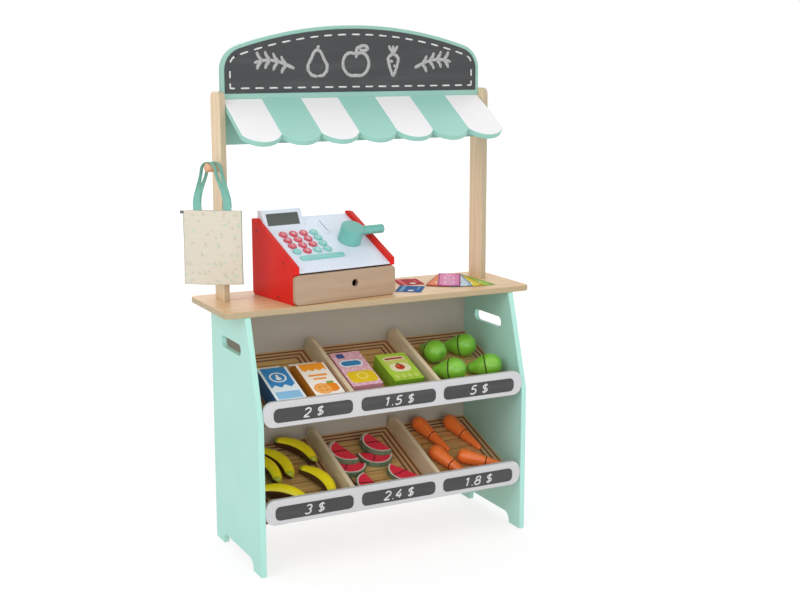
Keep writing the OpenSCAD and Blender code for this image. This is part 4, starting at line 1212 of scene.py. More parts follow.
    def sprig(self, side: int) -> list[Stroke]:
        """A curved twig with pairs of leaves, towards one side."""
        twig = [(side * t * 1.3, 0.26 * math.sin(2.4 * t) - 0.2) for t in shares(10)]
        strokes = [twig]
        for i in (2, 4, 6, 8):
            x, y = twig[i]
            for lift in (1, -1):
                bend, tip = (x + side * 0.12, y + lift * 0.13), (x + side * 0.17, y + lift * 0.26)
                strokes.append([(x, y), bend, tip])
        return strokes


@dataclass
class TrayFrame:
    """Where a tray's floor lies, and places on it by shares of its size."""

    rear: float = 107.897 * MM
    tilt: float = math.radians(19.5)
    width: float = 558 * MM
    length: float = 234.34 * MM
    clear: float = 0.3 * MM
    upper: float = 374 * MM
    lower: float = 184.5 * MM

    def at(self, floor: float, across: float, down: float, turn: float = 0.0, lift: float = 0.0) -> Matrix:
        """Matrix of a place on a tray.

        Args:
            floor: height of the floor's rear edge.
            across: distance from the middle.
            down: distance down the slope.
            turn: turn on the floor in degrees.
            lift: distance off the floor.

        Returns:
            The place, with z off the floor.
        """
        slope = Matrix.Translation((0, self.rear, floor)) @ spin(self.tilt, "X")
        spot = Matrix.Translation((across, -down, self.clear + lift))
        return slope @ spot @ spin(math.radians(turn))

    def shared(self, floor: float, place: Spot) -> Matrix:
        """Place by shares of the tray's width and length and a turn."""
        return self.at(floor, place[0] * self.width, place[1] * self.length, place[2])


@dataclass
class Trays:
    """Floors, dividers, rails and price plates with chalk figures."""

    edge: float = 1.0 * MM
    prices: tuple[tuple[str, ...], ...] = (("2 $", "1.5 $", "5 $"), ("3 $", "2.4 $", "1.8 $"))
    pitch: float = 179 * MM
    figure: float = 17 * MM
    middles: tuple[float, float] = (310.5 * MM, 121 * MM)

    def dress(self, shop: Workshop) -> None:
        """Prints the floors, paints the rails and writes the prices."""
        shop.dress(CratePrint("crate_print"), 0.4 * MM, "upper_tray_floor", "lower_tray_floor")
        shop.dress(TRAY_WOOD, self.edge, "tray_dividers")
        shop.dress(WHITE_PAINT, 1.8 * MM, "upper_price_rail", "lower_price_rail")
        shop.dress(PLATE, 0.3 * MM, "price_plates")
        shop.dress(HIDDEN_WOOD, 0.5 * MM, "tray_battens")
        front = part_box("price_plates")[0].y - PROUD
        for row, (texts, z) in enumerate(zip(self.prices, self.middles)):
            for column, text in enumerate(texts):
                place = Matrix.Translation(((column - 1) * self.pitch, front, z)) @ FACING_FRONT
                self.price(shop, f"price_{row + 1}_{column + 1}", text, place)

    def price(self, shop: Workshop, name: str, text: str, place: Matrix) -> None:
        """Writes one price in chalk."""
        pen = Pen(3.0 * MM, wobble=0.3, stretch=1.25)
        write = partial(pen.write, text=text, height=self.figure, slant=0.3)
        shop.add(name, "stall", "chalkboard", [CHALK], write, place)


@dataclass
class Till:
    """Toy till with keys, display, drawer and scanner."""

    corner: Vector = field(default_factory=lambda: Vector((-188, -66, 500)) * MM)
    turn: float = TILL_TURN
    deck_low: float = 62 * MM
    tilt: float = math.radians(27)
    key_first: Point = (40 * MM, 126.5 * MM)
    key_pitch: Point = (23 * MM, 19.5 * MM)
    key_rise: float = 3 * MM
    key_edge: float = 0.8 * MM
    figure: float = 6.8 * MM
    figures: str = "789+456-123x.0$="

    def deck(self, u: float, s: float, rise: float) -> Matrix:
        """Place on the deck, u across, s up the slope and rise off it."""
        body = Matrix.Translation(self.corner) @ spin(self.turn)
        slope = Matrix.Translation((0, 0, self.deck_low)) @ spin(self.tilt, "X")
        return body @ slope @ Matrix.Translation((u, s, rise))

    def dress(self, shop: Workshop) -> None:
        """Paints the case, moulds the deck and prints the keys."""
        shop.dress(RED_PAINT, 1.3 * MM, "till_left_cheek", "till_right_cheek")
        shop.dress(RED_PAINT, 0.5 * MM, "till_back")
        shop.dress(DARK_RED, 0.25 * MM, "till_cheek_screws")
        shop.dress(DECK, 0.5 * MM, "till_deck", dissolve=False)
        shop.dress(DisplayGlass("display_glass", coat=0.6), 0.2 * MM, "till_display_window")
        shop.dress(CIRCUIT, 0.2 * MM, "till_circuit_board")
        shop.dress(TILL_WOOD, 0.5 * MM, "till_base", "till_deck_cleats", "till_drawer")
        shop.dress(TILL_WOOD, 1.6 * MM, "till_drawer_front")
        shop.dress(TEAL, 1.6 * MM, "scanner_drum")
        shop.dress(TEAL, 1.2 * MM, "scanner_handle")
        shop.dress(TEAL_KEY, self.key_edge, "till_key_bar")
        for i, sign in enumerate(self.figures):
            self.key(shop, i, sign)

    def key(self, shop: Workshop, i: int, sign: str) -> None:
        """Paints one key and prints its figure.

        Args:
            shop: the workshop.
            i: the key's number from the top left.
            sign: the figure.
        """
        name = f"till_key_{i + 1:02d}"
        finish, slot = (RED_KEY, "red_key") if sign.isdigit() else (TEAL_KEY, "teal_plastic")
        shop.dress(finish, self.key_edge, name)
        u = self.key_first[0] + (i % 4) * self.key_pitch[0]
        s = self.key_first[1] - (i // 4) * self.key_pitch[1]
        pen = Pen(0.95 * MM, rise=0.12 * MM)
        place = self.deck(u, s, self.key_rise + 0.01 * MM)
        write = partial(pen.write, text=sign, height=self.figure)
        shop.add(f"{name}_figure", f"body_{name}", slot, [INK], write, place)


CARTONS = (
    PackPrint(
        "blue_carton_print",
        ground="E4F1F8",
        side="1E5E94",
        wave="2E8CCB",
        wave_at=44 * MM,
        patches=(
            disc("F2F5F7", 0, 74, 17),
            disc("2E8CCB", 0, 74, 13.5),
            disc("F2F5F7", 0, 70, 5.5),
            Swatch("F2F5F7", (0, 77), (2.6, 6.5), 2.6),
            Swatch("8CC4E8", (0, 14), (30, 12), 1),
            Swatch("F4F6F6", (0, 125), (31, 17), 0.5),
            *(Swatch("EEF4F8", (x, 60), (3, 70), 0.5) for x in (-28, 28)),
        ),
    ),
    PackPrint(
        "orange_carton_print",
        ground="FCF6EC",
        side="E08420",
        wave="FFA326",
        wave_at=84 * MM,
        wave_swing=3 * MM,
        wave_pitch=15 * MM,
        patches=(
            disc("F08A1C", 12, 22, 15),
            disc("F89828", -7, 20, 18),
            disc("FBD49A", -7, 20, 14.5),
            disc("F3A03F", -7, 20, 13),
            Swatch("FBD49A", (-7, 20), (13, 0.8), 0.4),
            Swatch("FBD49A", (-7, 20), (0.8, 13), 0.4),
            Swatch("6EA83A", (14, 39), (8, 3.4), 3.4),
            Swatch("F6A03C", (0, 66), (20, 3.4), 3.4),
            Swatch("F6A03C", (0, 54), (14, 3), 3),
            Swatch("F8F4EC", (0, 125), (31, 17), 0.5),
            *(Swatch("FCF6EC", (x, 60), (3, 70), 0.5) for x in (-28, 28)),
        ),
    ),
)

BOXES = (
    PackPrint(
        "pink_box_print",
        ground="E7B4C6",
        side="D99AA8",
        dots="F4DCE4",
        patches=(
            Swatch("EBCB1E", (1, 29), (29, 20), 11),
            disc("F4E27A", 2, 32, 12),
            disc("EBCB1E", 2, 32, 8.5),
            Swatch("EAF3F8", (-2, 78), (25, 12), 12),
            Swatch("2F86C2", (-2, 78), (21, 8.5), 8.5),
            Swatch("35569C", (-14, 106), (8, 8), 3),
        ),
    ),
    PackPrint(
        "green_box_print",
        ground="A2CC38",
        side="7DAF28",
        wave="B2D94A",
        wave_at=20 * MM,
        wave_pitch=11 * MM,
        patches=(
            Swatch("D6DC74", (0, 66), (25, 21), 20),
            *(Swatch("C4DE6E", (x, 13), (5, 7), 4) for x in (-21, -7, 7, 21)),
            Swatch("F0EDC8", (0, 44), (22, 15), 14),
            disc("C23A22", 0, 46, 10),
            disc("E2644C", -3, 49, 4),
            Swatch("3F7A2A", (0, 57), (4, 2), 2),
            Swatch("F0EDC8", (0, 77), (24, 6), 6),
            Swatch("A8302A", (0, 77), (20, 3), 3),
        ),
    ),
)


@dataclass
class Packs:
    """Cartons and snack boxes in the upper tray."""

    tray: TrayFrame
    carton: Spot = (60 * MM, 38 * MM, 108 * MM)
    gable: float = 24 * MM
    seam: Point = (7 * MM, 3 * MM)
    carton_gap: float = 1.2 * MM
    carton_shares: Point = (-0.39, -0.248)
    box: Point = (65 * MM, 34 * MM)
    box_lengths: Point = (120 * MM, 96 * MM)
    box_shares: tuple[Point, Point] = ((-0.09, 0.85), (0.073, 0.85))
    score: float = 0.5 * MM
    edge: float = 0.7 * MM

    def build(self, shop: Workshop) -> None:
        """Adds the packs at their places."""
        down = self.tray.length - self.carton[1] * math.tan(self.tray.tilt) - self.carton_gap
        for name, across, finish in zip(("carton_blue", "carton_orange"), self.carton_shares, CARTONS):
            place = self.tray.at(self.tray.upper, across * self.tray.width, down)
            build = self.carton_mesh
            shop.add(name, "stall", "printed_carton", [finish], build, place, "cartons", self.edge)
        sizes = zip(("box_pink", "box_green"), self.box_lengths, self.box_shares, BOXES)
        for name, length, share, finish in sizes:
            place = self.tray.shared(self.tray.upper, (*share, 0.0))
            build = partial(self.box_mesh, length=length)
            shop.add(name, "stall", "printed_box", [finish], build, place, "snack_boxes", self.edge)

    def carton_mesh(self, bm: Mesh) -> None:
        """Carton lying on its back, with a gable and a top seam."""
        width, height, length = self.carton
        middle, thick = height / 2, self.seam[1] / 2
        end = length + self.gable
        side = [
            (0.0, 0.0),
            (length, 0.0),
            (end, middle - thick),
            (end + self.seam[0], middle - thick),
            (end + self.seam[0], middle + thick),
            (end, middle + thick),
            (length, height),
            (0.0, height),
        ]
        loft(bm, [[Vector((x, y, z)) for y, z in side] for x in (-width / 2, width / 2)])

    def box_mesh(self, bm: Mesh, length: float) -> None:
        """Snack box with a lid flap scored at its front end."""
        (width, height), score = self.box, self.score
        scored = ((6 * MM, 0.0), (6.3 * MM, score), (6.9 * MM, score), (7.2 * MM, 0.0))
        rings = []
        for y, dip in ((0.0, 0.0), *scored, (length, 0.0)):
            x, low, high = width / 2 - dip, dip, height - dip
            rings.append([Vector(p) for p in ((-x, y, low), (x, y, low), (x, y, high), (-x, y, high))])
        loft(bm, rings)


def dome(t: float) -> float:
    """Radius of a round end, 0 at its tip and 1 where it is full."""
    return math.sqrt(max(0.0, 1 - (1 - t) ** 2))


def blunt(t: float, cap: float) -> float:
    """Factor that closes a form over the last share of its length."""
    return math.sqrt(max(0.0, 1 - (max(0.0, t - 1 + cap) / cap) ** 4))


@dataclass
class Fruit:
    """Wooden fruit and vegetables; their spots are shares of a tray's width and length, and a turn."""

    tray: TrayFrame
    pear_r: float = 24 * MM
    pear_l: float = 72 * MM
    pear_lean: float = math.radians(20)
    pear_cut: float = 0.47
    pears: tuple[Spot, ...] = ((0.266, 0.43, 8), (0.402, 0.38, 50), (0.28, 0.735, 52), (0.428, 0.735, 65))
    carrot_r: float = 16 * MM
    carrot_l: float = 112 * MM
    carrot_cut: float = 0.52
    carrots: tuple[Spot, ...] = (
        (0.262, 0.064, 15),
        (0.39, 0.102, 15),
        (0.24, 0.508, 21),
        (0.3226, 0.64, 59),
    )
    banana_r: float = 15 * MM
    banana_bend: float = 76 * MM
    banana_reach: float = math.radians(40)
    bananas: tuple[Spot, ...] = (
        (-0.242, 0.209, 33),
        (-0.337, 0.35, 19),
        (-0.231, 0.666, 19),
        (-0.3835, 0.76, 53),
        (-0.3925, 0.397, 19),
    )
    melon_r: float = 37 * MM
    melon_t: float = 11 * MM
    melon_edge: float = 1.2 * MM
    low_melons: tuple[Spot, ...] = (
        (0.0269, 0.4055, -10),
        (-0.0932, 0.478, -20),
        (0.0645, 0.256, -69),
        (-0.0789, 0.307, -69),
        (-0.0502, 0.794, -79),
        (0.0932, 0.7, -51),
    )
    high_melons: tuple[Spot, ...] = ((-0.0824, 0.367, -69), (0.0591, 0.3137, -69))
    cut_width: float = 1.1 * MM
    cut_depth: float = 1.4 * MM
    sides: int = 48

    def build(self, shop: Workshop) -> None:
        """Adds every fruit at its place."""
        green = FruitPaint("pear_paint", 0.2, color="78BE34", end="4E9422", blush="90CC46")
        orange = FruitPaint("carrot_paint", 0.15, color="FF7E36", end="E0641F", blush="FF9650", reach=0.06)
        yellow = BananaPaint("banana_paint", coat=0.2)
        red = MelonPaint("melon_paint", coat=0.1)
        upper, lower = (partial(self.tray.shared, floor) for floor in (self.tray.upper, self.tray.lower))
        rise = Matrix.Translation((0, 0, self.melon_t + self.tray.clear))
        pears = [upper(spot) @ self.pear_pose() for spot in self.pears]
        carrots = [lower(spot) @ self.carrot_pose() for spot in self.carrots]
        bananas = [lower(spot) for spot in self.bananas]
        melons = [lower(spot) for spot in self.low_melons]
        melons += [lower(spot) @ rise for spot in self.high_melons]
        for name, slot, finishes, build, places, node, edge in (
            ("pear", "pear_green", [green, CUT], self.pear, pears, "pears", 0.0),
            ("carrot", "carrot_orange", [orange, CUT], self.carrot, carrots, "carrots", 0.0),
            ("banana", "banana_yellow", [yellow], self.banana, bananas, "bananas", 0.0),
            ("melon", "melon_red", [red, CUT], self.melon, melons, "melon_slices", self.melon_edge),
        ):
            for i, place in enumerate(places):
                shop.add(f"{name}_{i + 1}", "stall", slot, finishes, build, place, node, edge)

    def pear_at(self, t: float) -> float:
        """Radius of a pear at a share of its length."""
        belly, neck, cap = 0.36, 0.4, 0.14
        if t < belly:
            return self.pear_r * dome(t / belly)
        return self.pear_r * mix(1, neck, ease((t - belly) / (1 - belly))) * blunt(t, cap)

    def carrot_at(self, t: float) -> float:
        """Radius of a carrot at a share of its length."""
        shoulder, crown, tip, cap = 0.16, 0.45, 0.34, 0.07
        ripple_depth, ripple_turns = 0.02, 70
        if t < shoulder:
            return self.carrot_r * mix(crown, 1, dome(t / shoulder))
        ripple = 1 - ripple_depth * (1 + math.sin(t * ripple_turns))
        return self.carrot_r * mix(1, tip, (t - shoulder) / (1 - shoulder)) * blunt(t, cap) * ripple

    def sit(self, radius: Callable[[float], float], length: float, lean: float) -> float:
        """Height at which a leaning form's axis starts when the form rests on the floor.

        Args:
            radius: radius at a share of the length.
            length: the form's length.
            lean: the axis's angle to the floor.

        Returns:
            The height.
        """
        sin, cos = math.sin(lean), math.cos(lean)
        return max(t * length * sin + radius(t) * cos for t in shares(60))

    def pear_pose(self) -> Matrix:
        """Lays a pear that stands along z on its side, stem along y."""
        height = self.sit(self.pear_at, self.pear_l, self.pear_lean)
        return Matrix.Translation((0, -self.pear_r, height)) @ spin(-math.pi / 2 - self.pear_lean, "X")

    def carrot_pose(self) -> Matrix:
        """Lays a carrot that stands along z down, its tip along -y."""
        lean = math.atan2(0.6 * self.carrot_r, self.carrot_l)
        height = self.sit(self.carrot_at, self.carrot_l, lean)
        return Matrix.Translation((0, 0, height)) @ spin(math.pi / 2 + lean, "X")

    def turned(self, bm: Mesh, radius: Callable[[float], float], length: float, cut: float) -> None:
        """A turned form along z with a dark cut round it.

        Args:
            bm: the mesh that is being built.
            radius: radius at a share of the length.
            length: the form's length.
            cut: share of the length where the cut lies.
        """
        width, lip, least = self.cut_width / length, radius(cut), 0.05 * MM
        groove = [(cut + side * width, lip) for side in (-1, 1)]
        groove += [(cut + side * 0.6 * width, lip - self.cut_depth) for side in (-1, 1)]
        eased = [0.5 - 0.5 * math.cos(math.pi * t) for t in shares(40)]
        plain = [(t, max(radius(t), least)) for t in eased if abs(t - cut) > 1.5 * width]
        profile = sorted(plain + groove)
        rows = loft(bm, [circle(r, t * length, self.sides) for t, r in profile])
        middles = [(a + b) / 2 for (a, _), (b, _) in zip(profile, profile[1:])]
        mark([row for t, row in zip(middles, rows) if abs(t - cut) < width])

    def pear(self, bm: Mesh) -> None:
        """Pear with a cut round its belly and a short stem."""
        self.turned(bm, self.pear_at, self.pear_l, self.pear_cut)
        stem = ((2.6, 71.2), (2.2, 73.0), (1.6, 74.0))
        mark(loft(bm, [circle(r * MM, z * MM, 12) for r, z in stem]))

    def carrot(self, bm: Mesh) -> None:
        """Carrot with a cut round its middle."""
        self.turned(bm, self.carrot_at, self.carrot_l, self.carrot_cut)

    def banana(self, bm: Mesh) -> None:
        """Bent five-sided fruit that tapers to a stem and a blunt tip."""
        steps, sides, ridges, ridge = 36, 30, 5, 0.03
        thin, end = 0.34, 0.82
        rings = []
        for i, t in enumerate(shares(steps)):
            angle = mix(-self.banana_reach, self.banana_reach, t)
            swell = math.sin(math.pi * mix(0.06, 0.95, t)) ** 0.7
            r = self.banana_r * mix(thin, 1, swell) * (end if i in (0, steps) else 1)
            out = Vector((math.cos(angle), math.sin(angle), 0))
            ring = []
            for a in (2 * math.pi * j / sides for j in range(sides)):
                side = r * (1 - ridge + ridge * math.cos(ridges * a + 0.6))
                foot = Vector((-self.banana_bend, 0, self.banana_r + side * math.sin(a)))
                ring.append(foot + out * (self.banana_bend + side * math.cos(a)))
            rings.append(ring)
        loft(bm, rings)

    def melon(self, bm: Mesh) -> None:
        """Half-round slice with one cut across its upper face."""
        rim = arc((0.0, 0.0), (self.melon_r, self.melon_r), -180, 0, 40)
        loft(bm, [[Vector((x, y, z)) for x, y in rim] for z in (0.0, self.melon_t)])
        start, stop = Vector((1 * MM, -1.5 * MM)), Vector((-11 * MM, -31 * MM))
        side = Vector((-(stop - start).y, (stop - start).x)).normalized() * 0.65 * MM
        low, high = self.melon_t - 0.3 * MM, self.melon_t + 0.08 * MM
        foot = [start - side, start + side, stop + side, stop - side]
        mark(loft(bm, [[Vector((*p, z)) for p in foot] for z in (low, high)]))
        quads = [face for face in bm.faces if len(face.verts) == len(foot)]
        mark([[face for face in quads if all(v.co.z > self.melon_t for v in face.verts)]])


@dataclass
class Money:
    """A fan of notes and two cards on the counter."""

    middle: Vector = field(default_factory=lambda: Vector((244.99, 115.99, 500.1)) * MM)
    note: Point = (46 * MM, 150 * MM)
    note_t: float = 0.3 * MM
    note_wave: float = 0.2 * MM
    note_step: float = 0.5 * MM
    turns: tuple[float, ...] = (0, -10, -20, -40, -30)
    inks: tuple[tuple[str, str, str], ...] = (
        ("A9D04F", "5E9A33", "3F7A22"),
        ("F0D94F", "C79E1E", "A87E16"),
        ("CFE4F0", "3D93C6", "1F62A0"),
        ("EE8A5A", "C2472E", "A03A28"),
        ("EA96C2", "B0418F", "932F80"),
    )
    card: Point = (66 * MM, 52 * MM)
    card_t: float = 0.9 * MM
    card_corner: float = 4 * MM
    card_edge: float = 0.2 * MM
    cards: tuple = (
        ("card_red", (121.98 * MM, 72.0 * MM), 78, "B01C30", "DC6670"),
        ("card_blue", (87.97 * MM, -1.01 * MM), 54, "145C9C", "6FA8D2"),
    )

    def build(self, shop: Workshop) -> None:
        """Adds the notes and the cards."""
        for i, (turn, inks) in enumerate(zip(self.turns, self.inks)):
            place = Matrix.Translation(self.middle + Vector((0, 0, i * self.note_step)))
            place = place @ spin(math.radians(turn)) @ Matrix.Translation((0, -self.note[1] / 2, 0))
            finish, name = self.note_print(i, inks), f"note_{i + 1}"
            shop.add(name, "stall", "printed_paper", [finish], self.note_mesh, place, "play_money")
        for name, (x, y), turn, ground, band in self.cards:
            place = Matrix.Translation((x, y, self.middle.z)) @ spin(math.radians(turn))
            finish, build, edge = self.card_print(name, ground, band), self.card_mesh, self.card_edge
            shop.add(name, "stall", "printed_paper", [finish], build, place, "play_money", edge)

    def note_print(self, i: int, inks: tuple[str, str, str]) -> PaperPrint:
        """Print of one note: two rosettes and corner marks."""
        ground, border, ink = inks
        half = (self.note[0] / 2, self.note[1] / 2)
        x, y = half[0] / MM - 7, half[1] / MM - 8
        patches = [Swatch(ink, (sx * x, sy * y), (3, 3), 1) for sx in (-1, 1) for sy in (-1, 1)]
        for v in (-34, 18):
            patches += [disc("FBF7EE", 0, v, 11), disc(ink, 0, v, 8), Swatch(ground, (0, v), (4.5, 4.5), 2)]
        name = f"note_print_{i + 1}"
        return PaperPrint(name, ground=ground, border=border, half=half, patches=tuple(patches))

    def card_print(self, name: str, ground: str, band: str) -> PaperPrint:
        """Print of one card: a band, a chip and a line."""
        patches = (
            Swatch(band, (0, 15), (33, 4), 0.2),
            Swatch("F1EDE2", (-19, -4), (6.5, 5.5), 1.2),
            Swatch(band, (8, -16), (16, 1.6), 1.6),
        )
        half = (self.card[0] / 2, self.card[1] / 2)
        return PaperPrint(f"{name}_print", ground=ground, border=ground, half=half, patches=patches)

    def note_mesh(self, bm: Mesh) -> None:
        """Thin note with a faint wave along its length."""
        half, rings = self.note[0] / 2, []
        for t in shares(26):
            y = mix(-self.note[1] / 2, self.note[1] / 2, t)
            low = self.note_wave * (1 + math.sin(7 * t)) * (1 - t)
            high = low + self.note_t
            ring = [(-half, low), (half, low), (half, high), (-half, high)]
            rings.append([Vector((x, y, z)) for x, z in ring])
        loft(bm, rings)

    def card_mesh(self, bm: Mesh) -> None:
        """Card with round corners."""
        half_x, half_y, corner = self.card[0] / 2, self.card[1] / 2, self.card_corner
        rim: Stroke = []
        for sx, sy, start in ((1, -1, -90), (1, 1, 0), (-1, 1, 90), (-1, -1, 180)):
            centre = (sx * (half_x - corner), sy * (half_y - corner))
            rim += arc(centre, (corner, corner), start, start + 90, 6)
        loft(bm, [[Vector((x, y, z)) for x, y in rim] for z in (0.0, self.card_t)])


@dataclass
class Bag:
    """Cotton bag that hangs by two webbing handles from the peg."""

    centre: Vector = field(default_factory=lambda: Vector((-310, 42.1, 536)) * MM)
    turn: float = math.radians(-30)
    width: float = 113 * MM
    height: float = 141 * MM
    depth: float = 16 * MM
    cloth: float = 1.0 * MM
    peg: Vector = field(default_factory=lambda: Vector((-290, 51, 757)) * MM)
    peg_r: float = 9 * MM
    peg_length: float = 29 * MM
    strap_shares: Point = (0.393, 0.772)
    strap_w: float = 16 * MM
    gather: float = 9 * MM
    strap_t: float = 1.3 * MM
    strap_x: float = 28 * MM
    bend: float = 18 * MM
    cross: float = math.radians(60)
    lift: float = 0.66 * MM
    tuck: float = 16 * MM
    clear: float = 0.3 * MM
    belly: float = 3.5 * MM
    cup: float = 0.03
    folds: float = 1.9 * MM
    creases: float = 0.35 * MM
    hem_step: float = 0.5 * MM
    hem_span: Point = (0.905, 0.925)
    pinch: float = 0.7 * MM
    sag: float = 1.2 * MM
    ripple: float = 0.8 * MM

    def place(self) -> Matrix:
        """Place of the bag's lower middle, x along its width."""
        return Matrix.Translation(self.centre) @ spin(self.turn)

    def build(self, shop: Workshop) -> None:
        """Adds the pouch, the handles and the sewn tag."""
        cotton = Cloth("bag_cotton", sheen=0.2)
        pouch = shop.add("bag_pouch", "bag", "bag_cloth", [cotton], self.pouch, self.place(), "bag_body")
        shell = pouch.modifiers.new("cloth", "SOLIDIFY")
        shell.thickness, shell.offset = self.cloth, -1.0
        tape = Webbing("bag_webbing", sheen=0.2)
        for name, face in (("bag_handle_back", -1), ("bag_handle_front", 1)):
            build = partial(self.handle, face=face)
            shop.add(name, "bag", "webbing", [tape], build, Matrix(), "bag_handles", 0.4 * MM)
        tag = Webbing("tag_tape", color="6E6E72", length=12 * MM, width=7 * MM)
        shop.add("bag_tag", "bag", "webbing", [tag], self.tag, self.place(), edge=0.2 * MM)

    def fullness(self, u: float, v: float) -> float:
        """Distance of the cloth from the bag's middle plane.

        Args:
            u: distance from the middle along the width.
            v: share of the height from the lower edge.

        Returns:
            Half of the bag's depth there.
        """
        half = self.depth / 2
        bow = (self.width**2 / 4 + half**2) / (2 * half)
        lens = math.sqrt(bow**2 - u**2) - (bow - half)
        shape = mix(0.16, 1.0, ease(v / 0.45)) * mix(1.0, 0.62, ease((v - 0.6) / 0.4))
        return max(0.5 * MM, lens * shape)

    def cloth_point(self, u: float, v: float, face: int) -> Vector:
        """Point of the draped cloth.

        Args:
            u: distance from the middle along the width.
            v: share of the height from the lower edge.
            face: -1 for the front cloth and 1 for the rear one.

        Returns:
            The point, in the bag's own axes.
        """
        side = 2 * u / self.width
        fold = noise.noise(Vector((u * 34, v * 2.2, 5 * face))) * ease(1 - abs(side) ** 3)
        crease = noise.noise(Vector((u * 90, v * 7, 11 * face)))
        hem = self.hem_step if self.hem_span[0] < v < self.hem_span[1] else 0.0
        loose = math.sin(math.pi * min(1.0, v + 0.12))
        out = self.fullness(u, v) + (self.folds * fold + self.creases * crease) * loose - hem
        pull = self.pinch * math.sin(math.pi * v) * math.copysign(ease(abs(side)), side)
        sag = self.sag * (1 - side**2) * (1 - v) ** 2
        rise = self.ripple * noise.noise(Vector((u * 40, 3.3, 0))) * v**3
        return Vector((u - pull, face * max(out, 0.4 * MM), v * self.height - sag + rise))

    def pouch(self, bm: Mesh) -> None:
        """Pouch that is sewn at the sides and foot, open above, with soft folds."""
        across, up = 44, 52
        rings = []
        for v in shares(up):
            ring = []
            for face in (-1, 1):
                for t in shares(across)[:-1]:
                    u = mix(-0.5, 0.5, t) * self.width * -face
                    ring.append(self.cloth_point(u, v, face))
            rings.append(ring)
        loft(bm, rings, low=True, high=False)

    def strap_path(self, face: int) -> list[tuple[Vector, Vector, float]]:
        """Middle, width direction and width of a handle along its length.

        Args:
            face: 1 for the front handle and -1 for the back one.

        Returns:
            The rows, from the left end over the peg to the right end.
        """
        bend = self.bend
        middle = self.peg.z + self.peg_r + self.clear + self.lift + self.strap_t / 2 - bend
        x = self.peg.x - self.peg_length * self.strap_shares[face > 0]
        way = Vector((math.cos(self.cross), -math.sin(self.cross), 0))
        wide = Vector((math.sin(self.cross), math.cos(self.cross), 0))
        along = Vector((math.cos(self.turn), math.sin(self.turn), 0))
        ahead = Vector((math.sin(self.turn), -math.cos(self.turn), 0))
        rim = self.centre.z + self.height
        inside = self.fullness(self.strap_x, 1.0) - self.cloth - self.strap_t
        legs = []
        for side in (-1, 1):
            top = Vector((x, self.peg.y, middle)) + way * side * bend
            foot = self.centre + along * side * self.strap_x + ahead * face * max(inside, 1.2 * MM)
            foot.z = rim
            leg = []
            for t in shares(18)[1:]:
                flat = top.lerp(foot, ease(t))
                belly = side * self.belly * math.sin(math.pi * t)
                width = wide.lerp(along, ease(t)).normalized()
                here = Vector((flat.x + belly * along.x, flat.y + belly * along.y, mix(middle, rim, t)))
                leg.append((here, width, mix(self.gather, self.strap_w, ease(t) ** 2)))
            leg.append((foot - Vector((0, 0, self.tuck)), along, self.strap_w))
            legs.append(leg)
        over = []
        for a in (math.pi * t for t in shares(12)):
            here = Vector((x, self.peg.y, middle + bend * math.sin(a))) - way * bend * math.cos(a)
            over.append((here, wide, self.gather))
        return legs[0][::-1] + over + legs[1]

    def handle(self, bm: Mesh, face: int) -> None:
        """One handle as a flat tape, cupped where it gathers.

        Args:
            bm: the mesh that is being built.
            face: 1 for the front handle and -1 for the back one.
        """
        path = self.strap_path(face)
        rings = []
        for i, (here, across, width) in enumerate(path):
            ahead = (path[min(i + 1, len(path) - 1)][0] - path[max(i - 1, 0)][0]).normalized()
            normal = ahead.cross(across).normalized()
            cup = (self.strap_w - width) * self.cup
            spread = [k / 3 - 1 for k in range(7)]
            rows = [here + across * s * width / 2 - normal * cup * s * s for s in spread]
            thick = normal * self.strap_t / 2
            rings.append([p + thick for p in rows] + [p - thick for p in rows[::-1]])
        loft(bm, rings)

    def tag(self, bm: Mesh) -> None:
        """Small folded tag sewn into the side seam."""
        x, low, high = -self.width / 2, self.height - 6 * MM, self.height - 0.5 * MM
        rings = []
        for out, t in ((-2 * MM, 0.7 * MM), (4.4 * MM, 0.7 * MM), (5.2 * MM, 0.6 * MM)):
            rings.append([Vector((x - out, y, z)) for y, z in ((-t, low), (t, low), (t, high), (-t, high))])
        loft(bm, rings)


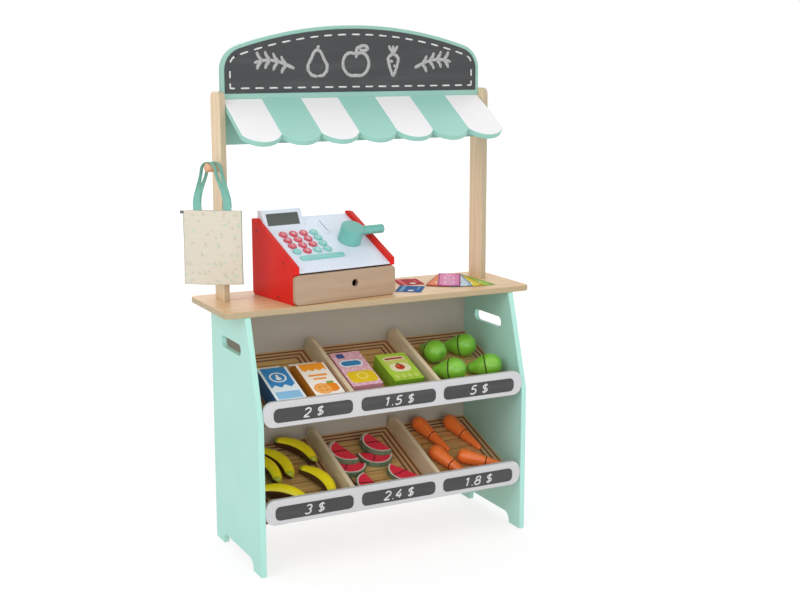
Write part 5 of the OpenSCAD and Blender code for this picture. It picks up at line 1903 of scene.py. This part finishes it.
@dataclass
class Studio:
    """Pale floor, soft lamps and the camera."""

    lens: float = 59.0
    sensor: float = 36.0
    eye: Spot = (-1.1153, -2.3043, 0.9773)
    angles: Spot = (90 - 10.88, 0.0, -27.13)
    target: Spot = (0.0, 0.0, 0.5)
    ambient: float = 0.55
    backdrop: float = 1.0
    floor_half: float = 14.0
    floor_drop: float = 0.2 * MM
    floor_glow: float = 1.15
    floor_fade: Point = (0.5, 1.5)
    floor_shares: Point = (0.62, 0.98)
    lamps: tuple[tuple[str, Spot, float, float], ...] = (
        ("key", (-3.3, -1.8, 2.6), 2.6, 50.0),
        ("fill", (2.8, -2.4, 1.9), 2.6, 10.0),
        ("top", (0.2, 0.4, 3.4), 3.0, 26.0),
        ("rear", (0.6, 2.8, 2.2), 2.4, 18.0),
        ("front", (-0.4, -3.4, 0.7), 2.2, 32.0),
    )

    def build(self) -> None:
        """Sets the stage up."""
        self.floor()
        self.world()
        for name, where, size, power in self.lamps:
            self.lamp(name, Vector(where), size, power)
        data = bpy.data.cameras.new("camera")
        data.lens, data.sensor_width, data.sensor_fit = self.lens, self.sensor, "HORIZONTAL"
        camera = bpy.data.objects.new("camera", data)
        camera.location = self.eye
        camera.rotation_euler = [math.radians(a) for a in self.angles]
        bpy.context.scene.collection.objects.link(camera)
        bpy.context.scene.camera = camera
        bpy.context.scene.view_settings.view_transform = "Standard"

    def floor(self) -> None:
        """A pale floor that keeps the object's shadow."""
        mesh = bpy.data.meshes.new("floor")
        half, z = self.floor_half, -self.floor_drop
        corners = [(-half, -half, z), (half, -half, z), (half, half, z), (-half, half, z)]
        mesh.from_pydata(corners, [], [(0, 1, 2, 3)])
        made = bpy.data.materials.new("floor_paper")
        made.use_nodes = True
        w = Weaver(made.node_tree)
        shader = made.node_tree.nodes["Principled BSDF"]
        pale = {"Base Color": (0.9, 0.9, 0.9, 1.0), "Roughness": 0.9, "Specular IOR Level": 0.1}
        for label, value in pale.items():
            w.feed(shader.inputs[label], value)
        near, distant = self.floor_shares
        far = w.ramp(w.vector("LENGTH", w.place(), out=1), *self.floor_fade)
        share = w.times(w.rays("Is Camera Ray", "Is Glossy Ray"), w.line(far, distant - near, near))
        lit = w.add("MixShader", share, shader.outputs[0], w.add("Emission", WHITE, self.floor_glow))
        w.feed(made.node_tree.nodes["Material Output"].inputs["Surface"], lit)
        mesh.materials.append(made)
        floor = bpy.data.objects.new("floor", mesh)
        bpy.context.scene.collection.objects.link(floor)

    def world(self) -> None:
        """White to the camera and in reflections, and a soft light elsewhere."""
        world = bpy.data.worlds.new("studio")
        world.use_nodes = True
        bpy.context.scene.world = world
        w = Weaver(world.node_tree)
        shown = w.rays("Is Camera Ray", "Is Glossy Ray", "Is Transmission Ray")
        background = world.node_tree.nodes["Background"]
        w.feed(background.inputs["Color"], WHITE)
        w.feed(background.inputs["Strength"], w.line(shown, self.backdrop - self.ambient, self.ambient))

    def lamp(self, name: str, where: Vector, size: float, power: float) -> None:
        """One square area lamp, aimed at the stall's middle."""
        data = bpy.data.lights.new(name, "AREA")
        data.size, data.energy = size, power
        lamp = bpy.data.objects.new(name, data)
        lamp.location = where
        lamp.rotation_mode = "QUATERNION"
        lamp.rotation_quaternion = (Vector(self.target) - where).to_track_quat("-Z", "Y")
        bpy.context.scene.collection.objects.link(lamp)


def main() -> None:
    """Loads the frame and builds every part of the scene."""
    logging.basicConfig(level=logging.INFO, format="%(message)s")
    for block in list(bpy.data.objects):
        bpy.data.objects.remove(block)
    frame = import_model()
    shop = Workshop(frame["nodes"])
    tray = TrayFrame()
    Studio().build()
    for part in (Carcass(), Sign(), Trays(), Till()):
        part.dress(shop)
    for part in (Packs(tray), Fruit(tray), Money(), Bag()):
        part.build(shop)


if __name__ == "__main__":
    main()
